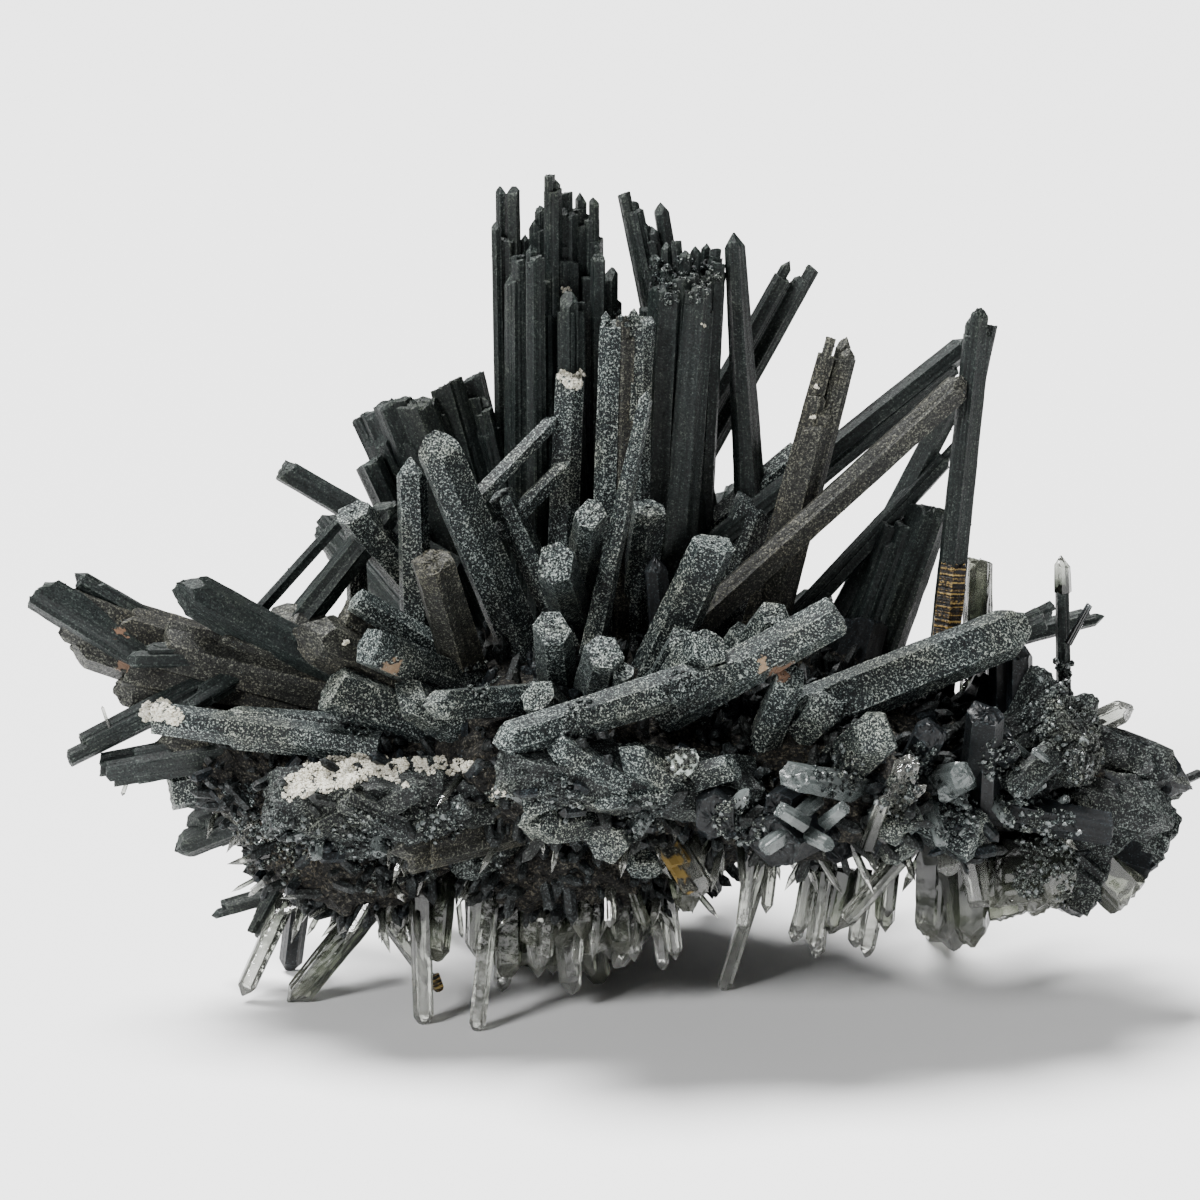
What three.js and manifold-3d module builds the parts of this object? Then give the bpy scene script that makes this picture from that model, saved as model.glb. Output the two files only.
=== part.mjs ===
// A chlorite quartz cluster, grown as one piece. Dark slim quartz crystals stand up and fan out from a lumpy matrix,
// stubby ones crowd its rim, and small clear ones hang below. It rests on their tips and on the flat broken root.
// Millimetres, +Z up, +Y away from the viewer of the front view. The origin is on the resting surface, below the
// middle of the cluster.

import * as THREE from "three";
import { ConvexGeometry } from "three/addons/geometries/ConvexGeometry.js";
import { mergeVertices } from "three/addons/utils/BufferGeometryUtils.js";
import Module from "manifold-3d";

// Driving dimensions of the front view: an eye that looks down on the middle of the cluster
const EYE_DISTANCE = 450;
const EYE_RISE = THREE.MathUtils.degToRad(14);
const EYE_AIM = new THREE.Vector3(0, 0, 42);

// The middle of the cluster's outline on the resting surface, from the foot of the eye's aim
const MIDDLE = new THREE.Vector3(1.3, 4.65, 0);

// Shares of a crystal's width
const CORNER = 0.535; // from its axis to an edge of its prism
const END_LENGTHS = { point: 0.75, chisel: 0.55, flat: 0 }; // from shoulder to tip
const BREAK_SLOPE = 0.22; // how far a broken end leans over its width
const TIP_TAPER = 0.9; // width at the shoulder, over width at the foot
const CHISEL_RIDGE = [0.33, -0.5]; // where the ridge of a chisel end starts and stops, over the shoulder's radius
const TURN_STEP = 0.7; // radians that each crystal is turned on its axis, past the one before it
const UPRIGHT = 0.2; // an axis that leans less than this is turned from +X instead of from +Z

// Where the six edges stand round the axis: two opposite faces are broader than the rest, as on real quartz
const EDGE_ANGLES = [0, 52, 128, 180, 232, 308].map(THREE.MathUtils.degToRad);

const LUMP_ROUGHNESS = 0.15; // of a matrix lump's half size
const WELD = 1e-4; // corners closer than this are one

// Front-view crystals: tip and foot as seen [right, up] of the aim and [depth] behind it, and width
const tallBundle = [
  { tip: [-10.4, 37.9, 12], foot: [-9.6, -6, 10], wide: 1.3 },
  { tip: [-9.9, 41.4, 14], foot: [-9.2, -6, 12], wide: 1.2 },
  { tip: [-8.7, 41.4, 13], foot: [-8.0, -6, 12], wide: 1.4 },
  { tip: [-6.5, 35.6, 7], foot: [-6.2, -8, 5], wide: 2.2, end: "chisel" },
  { tip: [-4.7, 42.6, 12], foot: [-4.6, -8, 11], wide: 2.1, end: "flat" },
  { tip: [-1.9, 40.8, 15], foot: [-1.8, -6, 12], wide: 1.3 },
  { tip: [-0.6, 40.3, 14], foot: [-0.6, -6, 12], wide: 1.2 },
  { tip: [-0.2, 34.8, 9], foot: [-0.4, -6, 8], wide: 1.6, end: "chisel" },
  { tip: [1.0, 33.3, 11], foot: [0.8, -6, 10], wide: 1.7 },
  { tip: [-2.9, 31.0, 8], foot: [-2.7, -8, 7], wide: 3.7, end: "flat" },
  { tip: [-8.3, 34.5, 10], foot: [-8.1, -8, 9], wide: 2.6, end: "flat" },
  { tip: [-4.9, 35.0, 17], foot: [-4.9, -6, 15], wide: 3.0, end: "chisel" },
  { tip: [-1.2, 36.5, 18], foot: [-1.4, -6, 15], wide: 2.6 },
  { tip: [1.3, 27.9, 4], foot: [0.2, -7, 2], wide: 2.9, end: "flat" },
  { tip: [3.8, 28.3, 5], foot: [3.1, -7, 3], wide: 3.2, end: "flat" },
];

const leftFan = [
  { tip: [-18.6, 20.1, 9], foot: [-9.0, -4, 8], wide: 3.4, end: "flat" },
  { tip: [-21.0, 20.3, 10], foot: [-11.0, -4, 9], wide: 3.2, end: "chisel" },
  { tip: [-22.5, 19.3, 12], foot: [-12.0, -5, 11], wide: 3.0, end: "flat" },
  { tip: [-23.9, 18.5, 13], foot: [-13.0, -5, 11], wide: 2.4 },
  { tip: [-23.3, 14.1, 9], foot: [-14.0, -6, 8], wide: 2.8, end: "chisel" },
  { tip: [-15.5, 22.0, 11], foot: [-8.0, -5, 9], wide: 2.8, end: "flat" },
  { tip: [-13.0, 22.6, 13], foot: [-6.5, -5, 10], wide: 2.2 },
  { tip: [-11.6, 19.2, 10], foot: [-6.0, -5, 9], wide: 2.4, end: "chisel" },
];

const leftRods = [
  { tip: [-32.0, 13.2, 6], foot: [-14.5, 3.0, 5], wide: 3.0, end: "flat" },
  { tip: [-25.0, 9.1, 0], foot: [-17.5, 0.5, 6], wide: 3.8, end: "flat" },
  { tip: [-24.8, 9.2, 4], foot: [-35.8, -3.0, 2], wide: 1.4 },
  { tip: [-24.6, 8.5, 6], foot: [-24.0, -5.5, 5], wide: 2.1 },
  { tip: [-20.4, 9.9, 3], foot: [-31.5, -4.0, 0], wide: 3.3, end: "chisel" },
  { tip: [-30.4, -2.6, -10], foot: [-13.5, -11.5, -5], wide: 5.6, end: "chisel" },
  { tip: [-18.9, 14.4, 1], foot: [-18.0, -12.0, 0], wide: 3.2 },
  { tip: [-16.9, 16.8, -4], foot: [-5.8, -9.5, -2], wide: 4.6, end: "chisel" },
  { tip: [-10.0, 10.8, 0], foot: [-2.6, -5.0, 0], wide: 3.0, end: "flat" },
  { tip: [-4.3, 18.3, 4], foot: [-13.4, 9.0, -3], wide: 1.8 },
  { tip: [-3.0, 22.5, 5], foot: [-4.1, -4.0, 4], wide: 3.3, end: "flat" },
  { tip: [-3.0, 13.9, 2], foot: [-11.0, 5.8, -1], wide: 1.9 },
  { tip: [-24.7, 0.2, -9], foot: [-10.0, -8.6, -2], wide: 2.7, end: "flat" },
  { tip: [-23.6, -4.4, -15], foot: [-13.0, -9.0, -6], wide: 4.6, end: "flat" },
];

const centreEnds = [
  { tip: [-0.9, 8.8, -8], foot: [-2.5, -1.0, 6], wide: 3.3, end: "flat" },
  { tip: [-4.5, 3.9, -11], foot: [-2.0, -4.0, 6], wide: 4.3, end: "flat" },
  { tip: [-4.8, -2.5, -15], foot: [-3.8, -12.5, -5], wide: 4.0, end: "flat" },
  { tip: [4.8, 21.0, -6], foot: [-2.4, -12.5, -5], wide: 2.7, end: "point", taper: 0.5 },
  { tip: [5.0, 9.5, -2], foot: [3.2, -4.0, 6], wide: 3.6, end: "flat" },
  { tip: [-16.8, 4.2, -13], foot: [-12.6, -10.0, -4], wide: 4.5, end: "flat" },
  { tip: [0.5, -5.0, -19], foot: [-1.5, -12.5, -5], wide: 4.2, end: "flat" },
  { tip: [2.4, -7.0, -19], foot: [1.8, -13.0, -8], wide: 2.2, end: "flat" },
  { tip: [5.5, 4.4, -4], foot: [6.8, -12.0, -3], wide: 2.8, end: "chisel" },
];

const backSpires = [
  { tip: [2.8, 40.9, 14], foot: [12.2, -4.0, 10], wide: 2.4, end: "chisel" },
  { tip: [4.4, 38.3, 14], foot: [12.0, -4.0, 11], wide: 2.6, end: "flat" },
  { tip: [6.0, 39.8, 15], foot: [12.8, -2.0, 12], wide: 1.7 },
  { tip: [10.6, 35.7, 13], foot: [7.4, 0.0, 9], wide: 2.2 },
  { tip: [7.0, 33.6, 9], foot: [5.2, -2.0, 7], wide: 4.4, end: "chisel" },
  { tip: [10.0, 31.6, 8], foot: [7.4, -2.0, 5], wide: 3.6, end: "flat" },
  { tip: [11.6, 34.4, 11], foot: [9.6, -2.0, 8.4], wide: 2.4, end: "chisel" },
  { tip: [13.4, 36.8, 12], foot: [15.8, -3.0, 10], wide: 3.6, taper: 0.55 },
  { tip: [19.2, 33.8, 17], foot: [3.6, 6.0, 12], wide: 2.2, end: "chisel" },
  { tip: [21.1, 33.5, 18], foot: [4.6, 4.0, 13], wide: 2.4 },
  { tip: [20.4, 14.2, 13], foot: [5.0, 1.0, 9], wide: 4.6, end: "flat" },
  { tip: [16.2, 10.0, 8], foot: [10.0, -6.0, 8], wide: 5.6, end: "flat" },
];

const rightRods = [
  { tip: [23.2, 26.4, 4], foot: [13.6, -8.0, 3], wide: 2.4 },
  { tip: [24.9, 26.2, 4], foot: [16.2, -8.0, 3], wide: 2.6, end: "chisel" },
  { tip: [22.4, 20.4, 3], foot: [15.4, -8.0, 3], wide: 3.4, end: "chisel" },
  { tip: [36.6, 22.0, 3], foot: [6.0, -5.8, -2], wide: 3.2, end: "chisel" },
  { tip: [37.2, 26.0, 9], foot: [8.6, 3.2, 6.6], wide: 2.8, end: "chisel" },
  { tip: [35.4, 24.0, 9], foot: [8.0, 1.4, 7], wide: 3.0, end: "flat" },
  { tip: [36.2, 21.5, 11], foot: [21.0, -7.5, 8], wide: 2.7 },
  { tip: [35.6, 15.4, 10], foot: [17.6, -4.0, 7], wide: 2.3 },
  { tip: [38.0, 29.3, 5], foot: [33.2, -16.0, 2], wide: 3.0 },
  { tip: [39.1, 27.6, 6], foot: [37.4, 20.0, 5], wide: 1.5, end: "flat" },
  { tip: [33.2, 9.6, 8], foot: [26.4, -9.0, 7], wide: 4.7, end: "flat" },
  { tip: [43.0, -2.4, -6], foot: [17.0, -13.0, -12], wide: 5.3, end: "chisel" },
  { tip: [45.6, -0.7, 2], foot: [23.0, -12.6, -5], wide: 2.1, end: "flat" },
  { tip: [50.4, -1.4, 8], foot: [26.0, -7.6, 5], wide: 2.4, end: "flat" },
  { tip: [46.2, 4.3, 4], foot: [46.4, -11.5, 3], wide: 1.6 },
  { tip: [38.1, 4.2, 13], foot: [37.0, -12.0, 6], wide: 2.6 },
  { tip: [42.0, -4.4, -5], foot: [42.0, -13.0, -5], wide: 2.6, end: "chisel" },
  { tip: [53.3, -10.6, 0], foot: [45.0, -14.5, 0], wide: 2.6, end: "chisel" },
];

const rightBlock = [
  { tip: [59.2, -18.9, 0], foot: [37.0, -9.5, 0], wide: 6.2, end: "chisel" },
  { tip: [57.6, -22.0, -5], foot: [37.0, -16.0, -4], wide: 6.6, end: "chisel" },
  { tip: [55.4, -25.4, -2], foot: [37.0, -19.5, -2], wide: 6.6, end: "flat" },
  { tip: [50.6, -29.4, -5], foot: [36.0, -18.5, -3], wide: 6.6, end: "flat" },
  { tip: [45.4, -31.2, -9], foot: [38.0, -19.0, -5], wide: 5.8, end: "flat" },
  { tip: [47.0, -10.0, -9], foot: [38.0, -15.0, -5], wide: 4.8, end: "flat" },
  { tip: [49.6, -15.8, -12], foot: [37.0, -17.4, -6], wide: 5.4, end: "flat" },
  { tip: [41.4, -14.0, -16], foot: [33.0, -18.5, -6], wide: 4.4, end: "chisel" },
  { tip: [52.0, -16.0, 12], foot: [34.0, -13.0, 6], wide: 5.4, end: "flat" },
];

const frontDiagonals = [
  { tip: [-10.6, -14.5, -27], foot: [13.8, -6.8, -16], wide: 3.8, end: "chisel" },
  { tip: [24.2, -1.2, -18], foot: [6.0, -11.4, -14], wide: 4.2, end: "flat" },
  { tip: [11.2, -4.4, -18], foot: [4.0, -11.0, -7], wide: 4.4, end: "flat" },
  { tip: [11.6, 6.1, -9], foot: [3.8, -10.6, -6], wide: 4.5, end: "flat" },
  { tip: [17.7, -1.2, -14], foot: [10.0, -11.4, -6], wide: 3.6, end: "flat" },
  { tip: [-17.2, -10.6, -21], foot: [-2.0, -9.6, -8], wide: 3.7, end: "chisel" },
  { tip: [19.2, -7.3, -17], foot: [15.2, -17.0, -13], wide: 3.6, end: "flat" },
  { tip: [28.8, -12.4, -22], foot: [22.0, -18.6, -12], wide: 5.2, end: "chisel" },
  { tip: [33.4, -12.6, -20], foot: [30.0, -19.0, -9], wide: 3.4, end: "chisel" },
  { tip: [38.6, -11.0, -19], foot: [37.6, -22.0, -9], wide: 3.8, end: "flat" },
];

const frontRim = [
  { tip: [-34.0, -20.3, -15], foot: [-11.0, -19.6, -12], wide: 8.0, end: "flat" },
  { tip: [-29.5, -24.2, -14], foot: [-10.0, -22.4, -10], wide: 4.4, end: "chisel" },
  { tip: [-20.6, -26.1, -18], foot: [-8.0, -22.6, -11], wide: 3.8 },
  { tip: [-10.6, -16.4, -26], foot: [15.0, -19.4, -18], wide: 6.6, end: "flat" },
  { tip: [-7.4, -22.6, -24], foot: [6.0, -20.6, -12], wide: 5.2, end: "chisel" },
  { tip: [0.6, -24.6, -22], foot: [4.0, -20.0, -9], wide: 4.6, end: "flat" },
  { tip: [11.4, -21.8, -26], foot: [13.0, -18.0, -12], wide: 4.8, end: "flat" },
  { tip: [17.0, -24.4, -25], foot: [24.0, -20.4, -11], wide: 5.8, end: "flat" },
  { tip: [19.0, -17.6, -25], foot: [29.0, -19.4, -14], wide: 4.4, end: "flat" },
  { tip: [31.0, -22.8, -22], foot: [25.0, -19.6, -9], wide: 5.2, end: "chisel" },
  { tip: [38.4, -24.4, -17], foot: [28.0, -18.6, -9], wide: 5.6, end: "flat" },
  { tip: [36.8, -17.4, -21], foot: [31.0, -18.4, -8], wide: 4.4, end: "chisel" },
];

const farLeft = [
  { tip: [-56.7, 1.2, -2], foot: [-35.0, -12.0, -1], wide: 4.2, end: "flat" },
  { tip: [-52.8, 2.3, 1], foot: [-27.0, -12.6, 0], wide: 3.0, end: "chisel" },
  { tip: [-42.5, 1.6, -4], foot: [-26.0, -7.6, -3], wide: 4.6, end: "chisel" },
  { tip: [-47.4, -5.6, -5], foot: [-34.0, -5.4, -2], wide: 2.7, end: "flat" },
  { tip: [-41.6, -10.9, -7], foot: [-34.0, -6.0, -2], wide: 2.7, end: "flat" },
  { tip: [-45.2, -11.7, -9], foot: [-22.0, -14.8, -12], wide: 3.4, end: "flat" },
  { tip: [-53.5, -15.6, -6], foot: [-38.0, -7.8, -3], wide: 3.0 },
  { tip: [-50.2, -17.2, -6], foot: [-32.0, -14.0, -5], wide: 4.4, end: "chisel" },
  { tip: [-42.0, -19.8, -2], foot: [-32.0, -16.0, -2], wide: 4.6, end: "flat" },
  { tip: [-42.6, -24.2, 2], foot: [-30.0, -19.0, 0], wide: 5.2, end: "flat" },
  { tip: [-39.0, -31.2, 6], foot: [-28.0, -28.0, 5], wide: 2.4, end: "flat" },
  { tip: [-34.6, -33.6, 3], foot: [-30.0, -25.0, 2], wide: 2.6, end: "flat" },
];

const hanging = [
  { tip: [-31.1, -37.3, 9], foot: [-29.4, -24.0, 5], wide: 2.6 },
  { tip: [-35.8, -39.6, -1], foot: [-30.0, -27.0, 2], wide: 2.1 },
  { tip: [-31.2, -40.7, -1], foot: [-21.0, -28.0, 0], wide: 3.1 },
  { tip: [-16.2, -39.1, -6], foot: [-24.6, -27.6, -2], wide: 1.6 },
  { tip: [-17.6, -42.9, -8], foot: [-18.2, -25.0, -6], wide: 2.2 },
  { tip: [-12.4, -43.6, -10], foot: [-10.4, -25.0, -7], wide: 1.9 },
  { tip: [-6.2, -37.8, -6], foot: [-6.6, -25.0, -4], wide: 2.2 },
  { tip: [-2.7, -39.5, -4], foot: [-4.6, -25.0, -3], wide: 2.6 },
  { tip: [1.0, -36.0, -4], foot: [-1.8, -25.0, -4], wide: 2.4 },
  { tip: [0.0, -38.4, 1], foot: [-2.0, -25.0, 1], wide: 2.6 },
  { tip: [4.7, -33.0, -10], foot: [1.4, -24.0, -8], wide: 1.5 },
  { tip: [1.2, -36.7, -6], foot: [9.4, -26.5, -1], wide: 2.1 },
  { tip: [10.3, -29.6, -16], foot: [5.6, -21.0, -11], wide: 3.0, end: "chisel" },
  { tip: [12.2, -39.3, 3], foot: [18.4, -20.0, -2], wide: 1.7 },
  { tip: [19.3, -34.3, 0], foot: [23.4, -20.0, -3], wide: 1.6 },
  { tip: [21.7, -35.8, 4], foot: [24.0, -14.0, -3], wide: 1.6 },
  { tip: [23.8, -32.9, -6], foot: [32.4, -23.0, -6], wide: 2.5 },
  { tip: [26.5, -35.7, 3], foot: [30.0, -18.6, -1], wide: 1.8 },
  { tip: [35.9, -35.0, -4], foot: [34.0, -22.0, -6], wide: 5.4 },
  { tip: [38.2, -30.8, -10], foot: [36.0, -20.0, -8], wide: 3.2, end: "flat" },
];

// Crystals of the back, which the front view hides: tip and foot as [x, y, z] from the foot of the eye's aim
const backCrystals = [
  { tip: [-30, 31, 43], foot: [-13, 8, 29], wide: 4.2 },
  { tip: [-18, 34, 50], foot: [-8, 10, 32], wide: 3.8, end: "flat" },
  { tip: [-6, 33, 58], foot: [-2, 12, 32], wide: 3.2 },
  { tip: [6, 35, 47], foot: [2, 12, 30], wide: 4.4, end: "flat" },
  { tip: [14, 33, 46], foot: [6, 10, 30], wide: 3.4 },
  { tip: [24, 34, 34], foot: [8, 10, 28], wide: 4.0, end: "flat" },
  { tip: [38, 28, 30], foot: [18, 8, 25], wide: 3.8 },
  { tip: [46, 20, 24], foot: [28, 6, 22], wide: 3.6, end: "flat" },
  { tip: [-38, 24, 34], foot: [-20, 8, 27], wide: 3.8, end: "flat" },
  { tip: [-26, 36, 26], foot: [-10, 12, 24], wide: 4.2, end: "chisel" },
  { tip: [2, 38, 32], foot: [0, 12, 26], wide: 4.0, end: "flat" },
  { tip: [14, 36, 23], foot: [6, 12, 22], wide: 3.8 },
  { tip: [31, 31, 19], foot: [14, 10, 21], wide: 3.6, end: "chisel" },
  { tip: [-38, 20, 20], foot: [-20, 8, 20], wide: 4.6, end: "chisel" },
  { tip: [-17, 35, 16], foot: [-6, 14, 20], wide: 4.4, end: "flat" },
  { tip: [-4, 38, 18], foot: [-1, 14, 20], wide: 3.6 },
  { tip: [9, 38, 15], foot: [5, 14, 18], wide: 4.6, end: "flat" },
  { tip: [44, 14, 16], foot: [30, 4, 18], wide: 4.4, end: "flat" },
];

const backHanging = [
  { tip: [36, 20, -1], foot: [33, 4, 22], wide: 2.6 },
  { tip: [-22, 26, 6], foot: [-14, 12, 20], wide: 2.6 },
  { tip: [10, 29, 4], foot: [6, 14, 18], wide: 2.4 },
  { tip: [22, 25, 6], foot: [15, 12, 19], wide: 2.2 },
];

// Lumps of the matrix: middle and half sizes, [x, y, z] from the foot of the eye's aim
const lumps = [
  { at: [0, -1, 28], half: [23, 20, 10.5] },
  { at: [20, -3, 26], half: [20, 18, 9] },
  { at: [-20, -1, 25], half: [17, 14, 9] },
  { at: [38, 0, 23], half: [15, 12, 8] },
  { at: [-24, 0, 17], half: [13, 11, 7.5] },
  { at: [0, 9, 34], half: [16, 9, 8] },
  { at: [18, 5, 31], half: [13, 9, 6.5] },
  { at: [4, 15, 22], half: [24, 13, 8] },
  { at: [0, 16, 13], half: [17, 12, 8] },
  { at: [-33, -2, 25], half: [9, 8, 6] },
  { at: [-3, -2, 17], half: [14, 11, 6.5] },
];

// The broken root that the cluster stands on: a stump under the matrix, cut flat by the resting surface
const ROOT = { at: [-4, 17, 5], half: [7, 10, 14], detail: 1 };

// The resting surface cuts off everything below it
const BELOW = 20;
const FLOOR_SPAN = 400;

const wasm = await Module();
wasm.setup();

const forward = new THREE.Vector3(0, Math.cos(EYE_RISE), -Math.sin(EYE_RISE));
const upward = new THREE.Vector3(0, Math.sin(EYE_RISE), Math.cos(EYE_RISE));
const eye = EYE_AIM.clone().addScaledVector(forward, -EYE_DISTANCE);

// The point that the front view shows [right, up] millimetres from its aim, and that lies [depth] behind it
function seen([right, up, depth]) {
  const ray = forward.clone();
  ray.x += right / EYE_DISTANCE;
  ray.addScaledVector(upward, up / EYE_DISTANCE);
  return eye.clone().addScaledVector(ray, (depth - eye.y) / ray.y).sub(MIDDLE);
}

function placed(at) {
  return new THREE.Vector3(...at).sub(MIDDLE);
}

// Six corners of a crystal's section
function corners(middle, across, over, radius) {
  return EDGE_ANGLES.map((angle) =>
    middle
      .clone()
      .addScaledVector(across, radius * Math.cos(angle))
      .addScaledVector(over, radius * Math.sin(angle)),
  );
}

// A six-sided prism from foot to tip, with a pointed, chisel-shaped or broken end
function crystal({ tip, foot, wide, end = "point", taper = TIP_TAPER }, turn, place) {
  const top = place(tip);
  const base = place(foot);
  const along = top.clone().sub(base).normalize();
  const side = new THREE.Vector3(0, 0, 1).cross(along);
  if (side.length() < UPRIGHT) side.set(1, 0, 0).cross(along);
  side.normalize().applyAxisAngle(along, turn);
  const over = along.clone().cross(side);
  const radius = CORNER * wide;
  const slim = radius * taper;
  const length = wide * taper * END_LENGTHS[end];
  const shoulder = corners(top.clone().addScaledVector(along, -length), side, over, slim);
  const ends = {
    point: [top],
    chisel: CHISEL_RIDGE.map((share) => top.clone().addScaledVector(side, share * slim)),
    flat: [],
  };
  if (end === "flat") {
    shoulder.forEach((p) => p.addScaledVector(along, BREAK_SLOPE * (p.clone().sub(top).dot(side) - slim)));
  }
  return new ConvexGeometry([...corners(base, side, over, radius), ...shoulder, ...ends[end]]);
}

// A fixed share from -1 to 1 that goes with a direction, the same for corners that share it
function unevenness(direction, seed) {
  const [x, y, z] = direction.toArray().map((v) => Math.round(v * 100));
  const wave = Math.sin(x * 12.99 + y * 78.23 + z * 37.72 + seed) * 43758.55;
  return 2 * (wave - Math.floor(wave)) - 1;
}

// A rough faceted lump of matrix
function lump({ at, half, detail = 0 }) {
  const geometry = new THREE.IcosahedronGeometry(1, detail);
  const place = geometry.getAttribute("position");
  const point = new THREE.Vector3();
  for (let i = 0; i < place.count; i += 1) {
    point.fromBufferAttribute(place, i);
    point.multiplyScalar(1 + LUMP_ROUGHNESS * unevenness(point, at[0]));
    place.setXYZ(i, point.x, point.y, point.z);
  }
  const middle = placed(at);
  geometry.scale(...half);
  geometry.translate(middle.x, middle.y, middle.z);
  return geometry;
}

function solid(geometry) {
  const bare = geometry.clone();
  bare.deleteAttribute("normal");
  bare.deleteAttribute("uv");
  const merged = mergeVertices(bare, WELD);
  return new wasm.Manifold(
    new wasm.Mesh({
      numProp: 3,
      vertProperties: merged.getAttribute("position").array,
      triVerts: new Uint32Array(merged.index.array),
    }),
  );
}

const frontCrystals = [
  ...tallBundle,
  ...leftFan,
  ...leftRods,
  ...centreEnds,
  ...backSpires,
  ...rightRods,
  ...rightBlock,
  ...frontDiagonals,
  ...frontRim,
  ...farLeft,
  ...hanging,
];

const grown = [
  ...lumps.map(lump),
  lump(ROOT),
  ...frontCrystals.map((row, i) => crystal(row, i * TURN_STEP, seen)),
  ...[...backCrystals, ...backHanging].map((row, i) => crystal(row, i * TURN_STEP, placed)),
];

const below = new THREE.BoxGeometry(FLOOR_SPAN, FLOOR_SPAN, BELOW).translate(0, 0, -BELOW / 2);
const joined = grown.map(solid).reduce((whole, piece) => whole.add(piece));
const { vertProperties, triVerts } = joined.subtract(solid(below)).getMesh();

const surface = new THREE.BufferGeometry();
surface.setAttribute("position", new THREE.BufferAttribute(vertProperties, 3));
surface.setIndex(new THREE.BufferAttribute(triVerts, 1));
surface.computeVertexNormals();

const darkQuartz = new THREE.MeshStandardMaterial({ color: 0x1c2422, roughness: 0.7, flatShading: true });
const cluster = new THREE.Mesh(surface, darkQuartz);
cluster.name = "chlorite_quartz_cluster";

const group = new THREE.Group();
group.add(cluster);
export default group;
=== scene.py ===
"""A chlorite quartz cluster on a pale floor. Metres, +Z up, +Y away from the viewer of the front view.

The main crystals stand where the solid model has them, row for row. The smaller crystals between them, the
growth lines, broken ends, crusts, grains and stains are made here.
"""

import math
from collections import namedtuple

import bmesh
import bpy
import numpy as np
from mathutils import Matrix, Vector, noise
from mathutils.bvhtree import BVHTree


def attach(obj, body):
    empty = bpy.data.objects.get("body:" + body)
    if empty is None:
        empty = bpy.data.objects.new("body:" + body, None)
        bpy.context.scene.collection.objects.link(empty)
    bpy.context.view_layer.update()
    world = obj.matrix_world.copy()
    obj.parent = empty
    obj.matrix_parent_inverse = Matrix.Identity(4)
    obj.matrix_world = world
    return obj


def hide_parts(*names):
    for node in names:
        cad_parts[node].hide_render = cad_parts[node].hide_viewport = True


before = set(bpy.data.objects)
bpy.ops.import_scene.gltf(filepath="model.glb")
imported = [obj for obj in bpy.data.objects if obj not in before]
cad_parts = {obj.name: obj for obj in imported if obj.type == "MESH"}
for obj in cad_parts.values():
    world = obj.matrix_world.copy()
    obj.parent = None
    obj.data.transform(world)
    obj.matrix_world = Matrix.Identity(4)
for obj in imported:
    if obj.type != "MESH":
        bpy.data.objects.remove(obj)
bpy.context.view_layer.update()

MM = 0.001

# The eye of the front view, as in the solid model
EYE_DISTANCE = 450
EYE_RISE = math.radians(14)
EYE_AIM = np.array([0.0, 0.0, 42.0])
MIDDLE = np.array([1.3, 4.65, 0.0])  # of the cluster's outline, from the foot of the eye's aim
LENS = 135
SENSOR = 36

# A crystal's section and ends, as in the solid model
CORNER = 0.535  # from its axis to an edge, in widths
END_LENGTHS = {"point": 0.75, "chisel": 0.55, "flat": 0.0}  # in widths
BREAK_SLOPE = 0.22
TIP_TAPER = 0.9
TURN_STEP = 0.7  # from one crystal to the next, in radians
UPRIGHT = 0.2  # a crystal closer to upright than this is turned from x instead of z
EDGE_ANGLES = np.radians([0, 52, 128, 180, 232, 308])

# How finely a crystal is drawn
SIDE_POINTS = 4
RING_STEP = 1.1
CAP_RINGS = (1.0, 0.9, 0.75, 0.5, 0.25, 0.1)

# How its ends are broken, in radii
BEVEL_START, BEVEL_SLOPE = 0.92, 0.35
CHIP_RISE, CHIP_SLOPES = 0.02, (0.1, 0.5)
NOTCH_RISE, NOTCH_SLOPE, NOTCH_SHIFTS = 0.25, 0.9, (-0.3, 0.5)
NOTCHED_FROM = 0.5  # unevenness from which a flat end has a notch too
BREAK_GRIT, UNEVEN_GRIT, CHISEL_GRIT = 0.01, 0.05, 0.06
CHISEL_SLOPES = ((1, 0.33, 0.67), (-1, 0.5, 0.5))  # way, start and run of the slopes at its ridge's two ends
POINT_TILT = 0.5

# How its sides are uneven, as shares of its finish's ribs, and the growth steps that its rings draw from
SIDE_RIBS = (-1, 0.4)
EDGE_RIBS = (-1, 0.6)
EDGE_RIB_SHARE = 0.3
GROWTH_STEPS = [0, 0, 0, -1, 1]
FOOT_LENGTH = 0.2  # past its last ring, in radii
MAP_STARTS = (0, 500)
END_MAP_SPREAD = (0, 0.3)

# How the parallel prisms of one crystal stand: shares of its width, and drops in millimetres
PARTED_ABOVE = 2  # millimetres wide
PART_TURNS = (-0.3, 0.3)
PART_PLACES = (0.17, 0.23)
PART_DROPS = (0.2, 2.4)
PART_WIDTHS = (0.52, 0.66)
PART_ENDS = {"flat": 0.5, "chisel": 0.3, "point": 0.2}
CORE_WIDTH = 0.96
CORE_DROPS, CORE_LEAST_DROP = (0.3, 0.8), 0.6

# Lowest points of a crystal and of a lump over the surface it all stands on, in millimetres
LOWEST_CRYSTAL = 0.01
LOWEST_LUMP = 0.02

# Without a finish, a crystal has its region's, and without a number of parts its finish's
COLUMNS = "tip foot wide end taper finish parts"
Crystal = namedtuple("Crystal", COLUMNS, defaults=("point", TIP_TAPER, None, 0))

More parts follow.
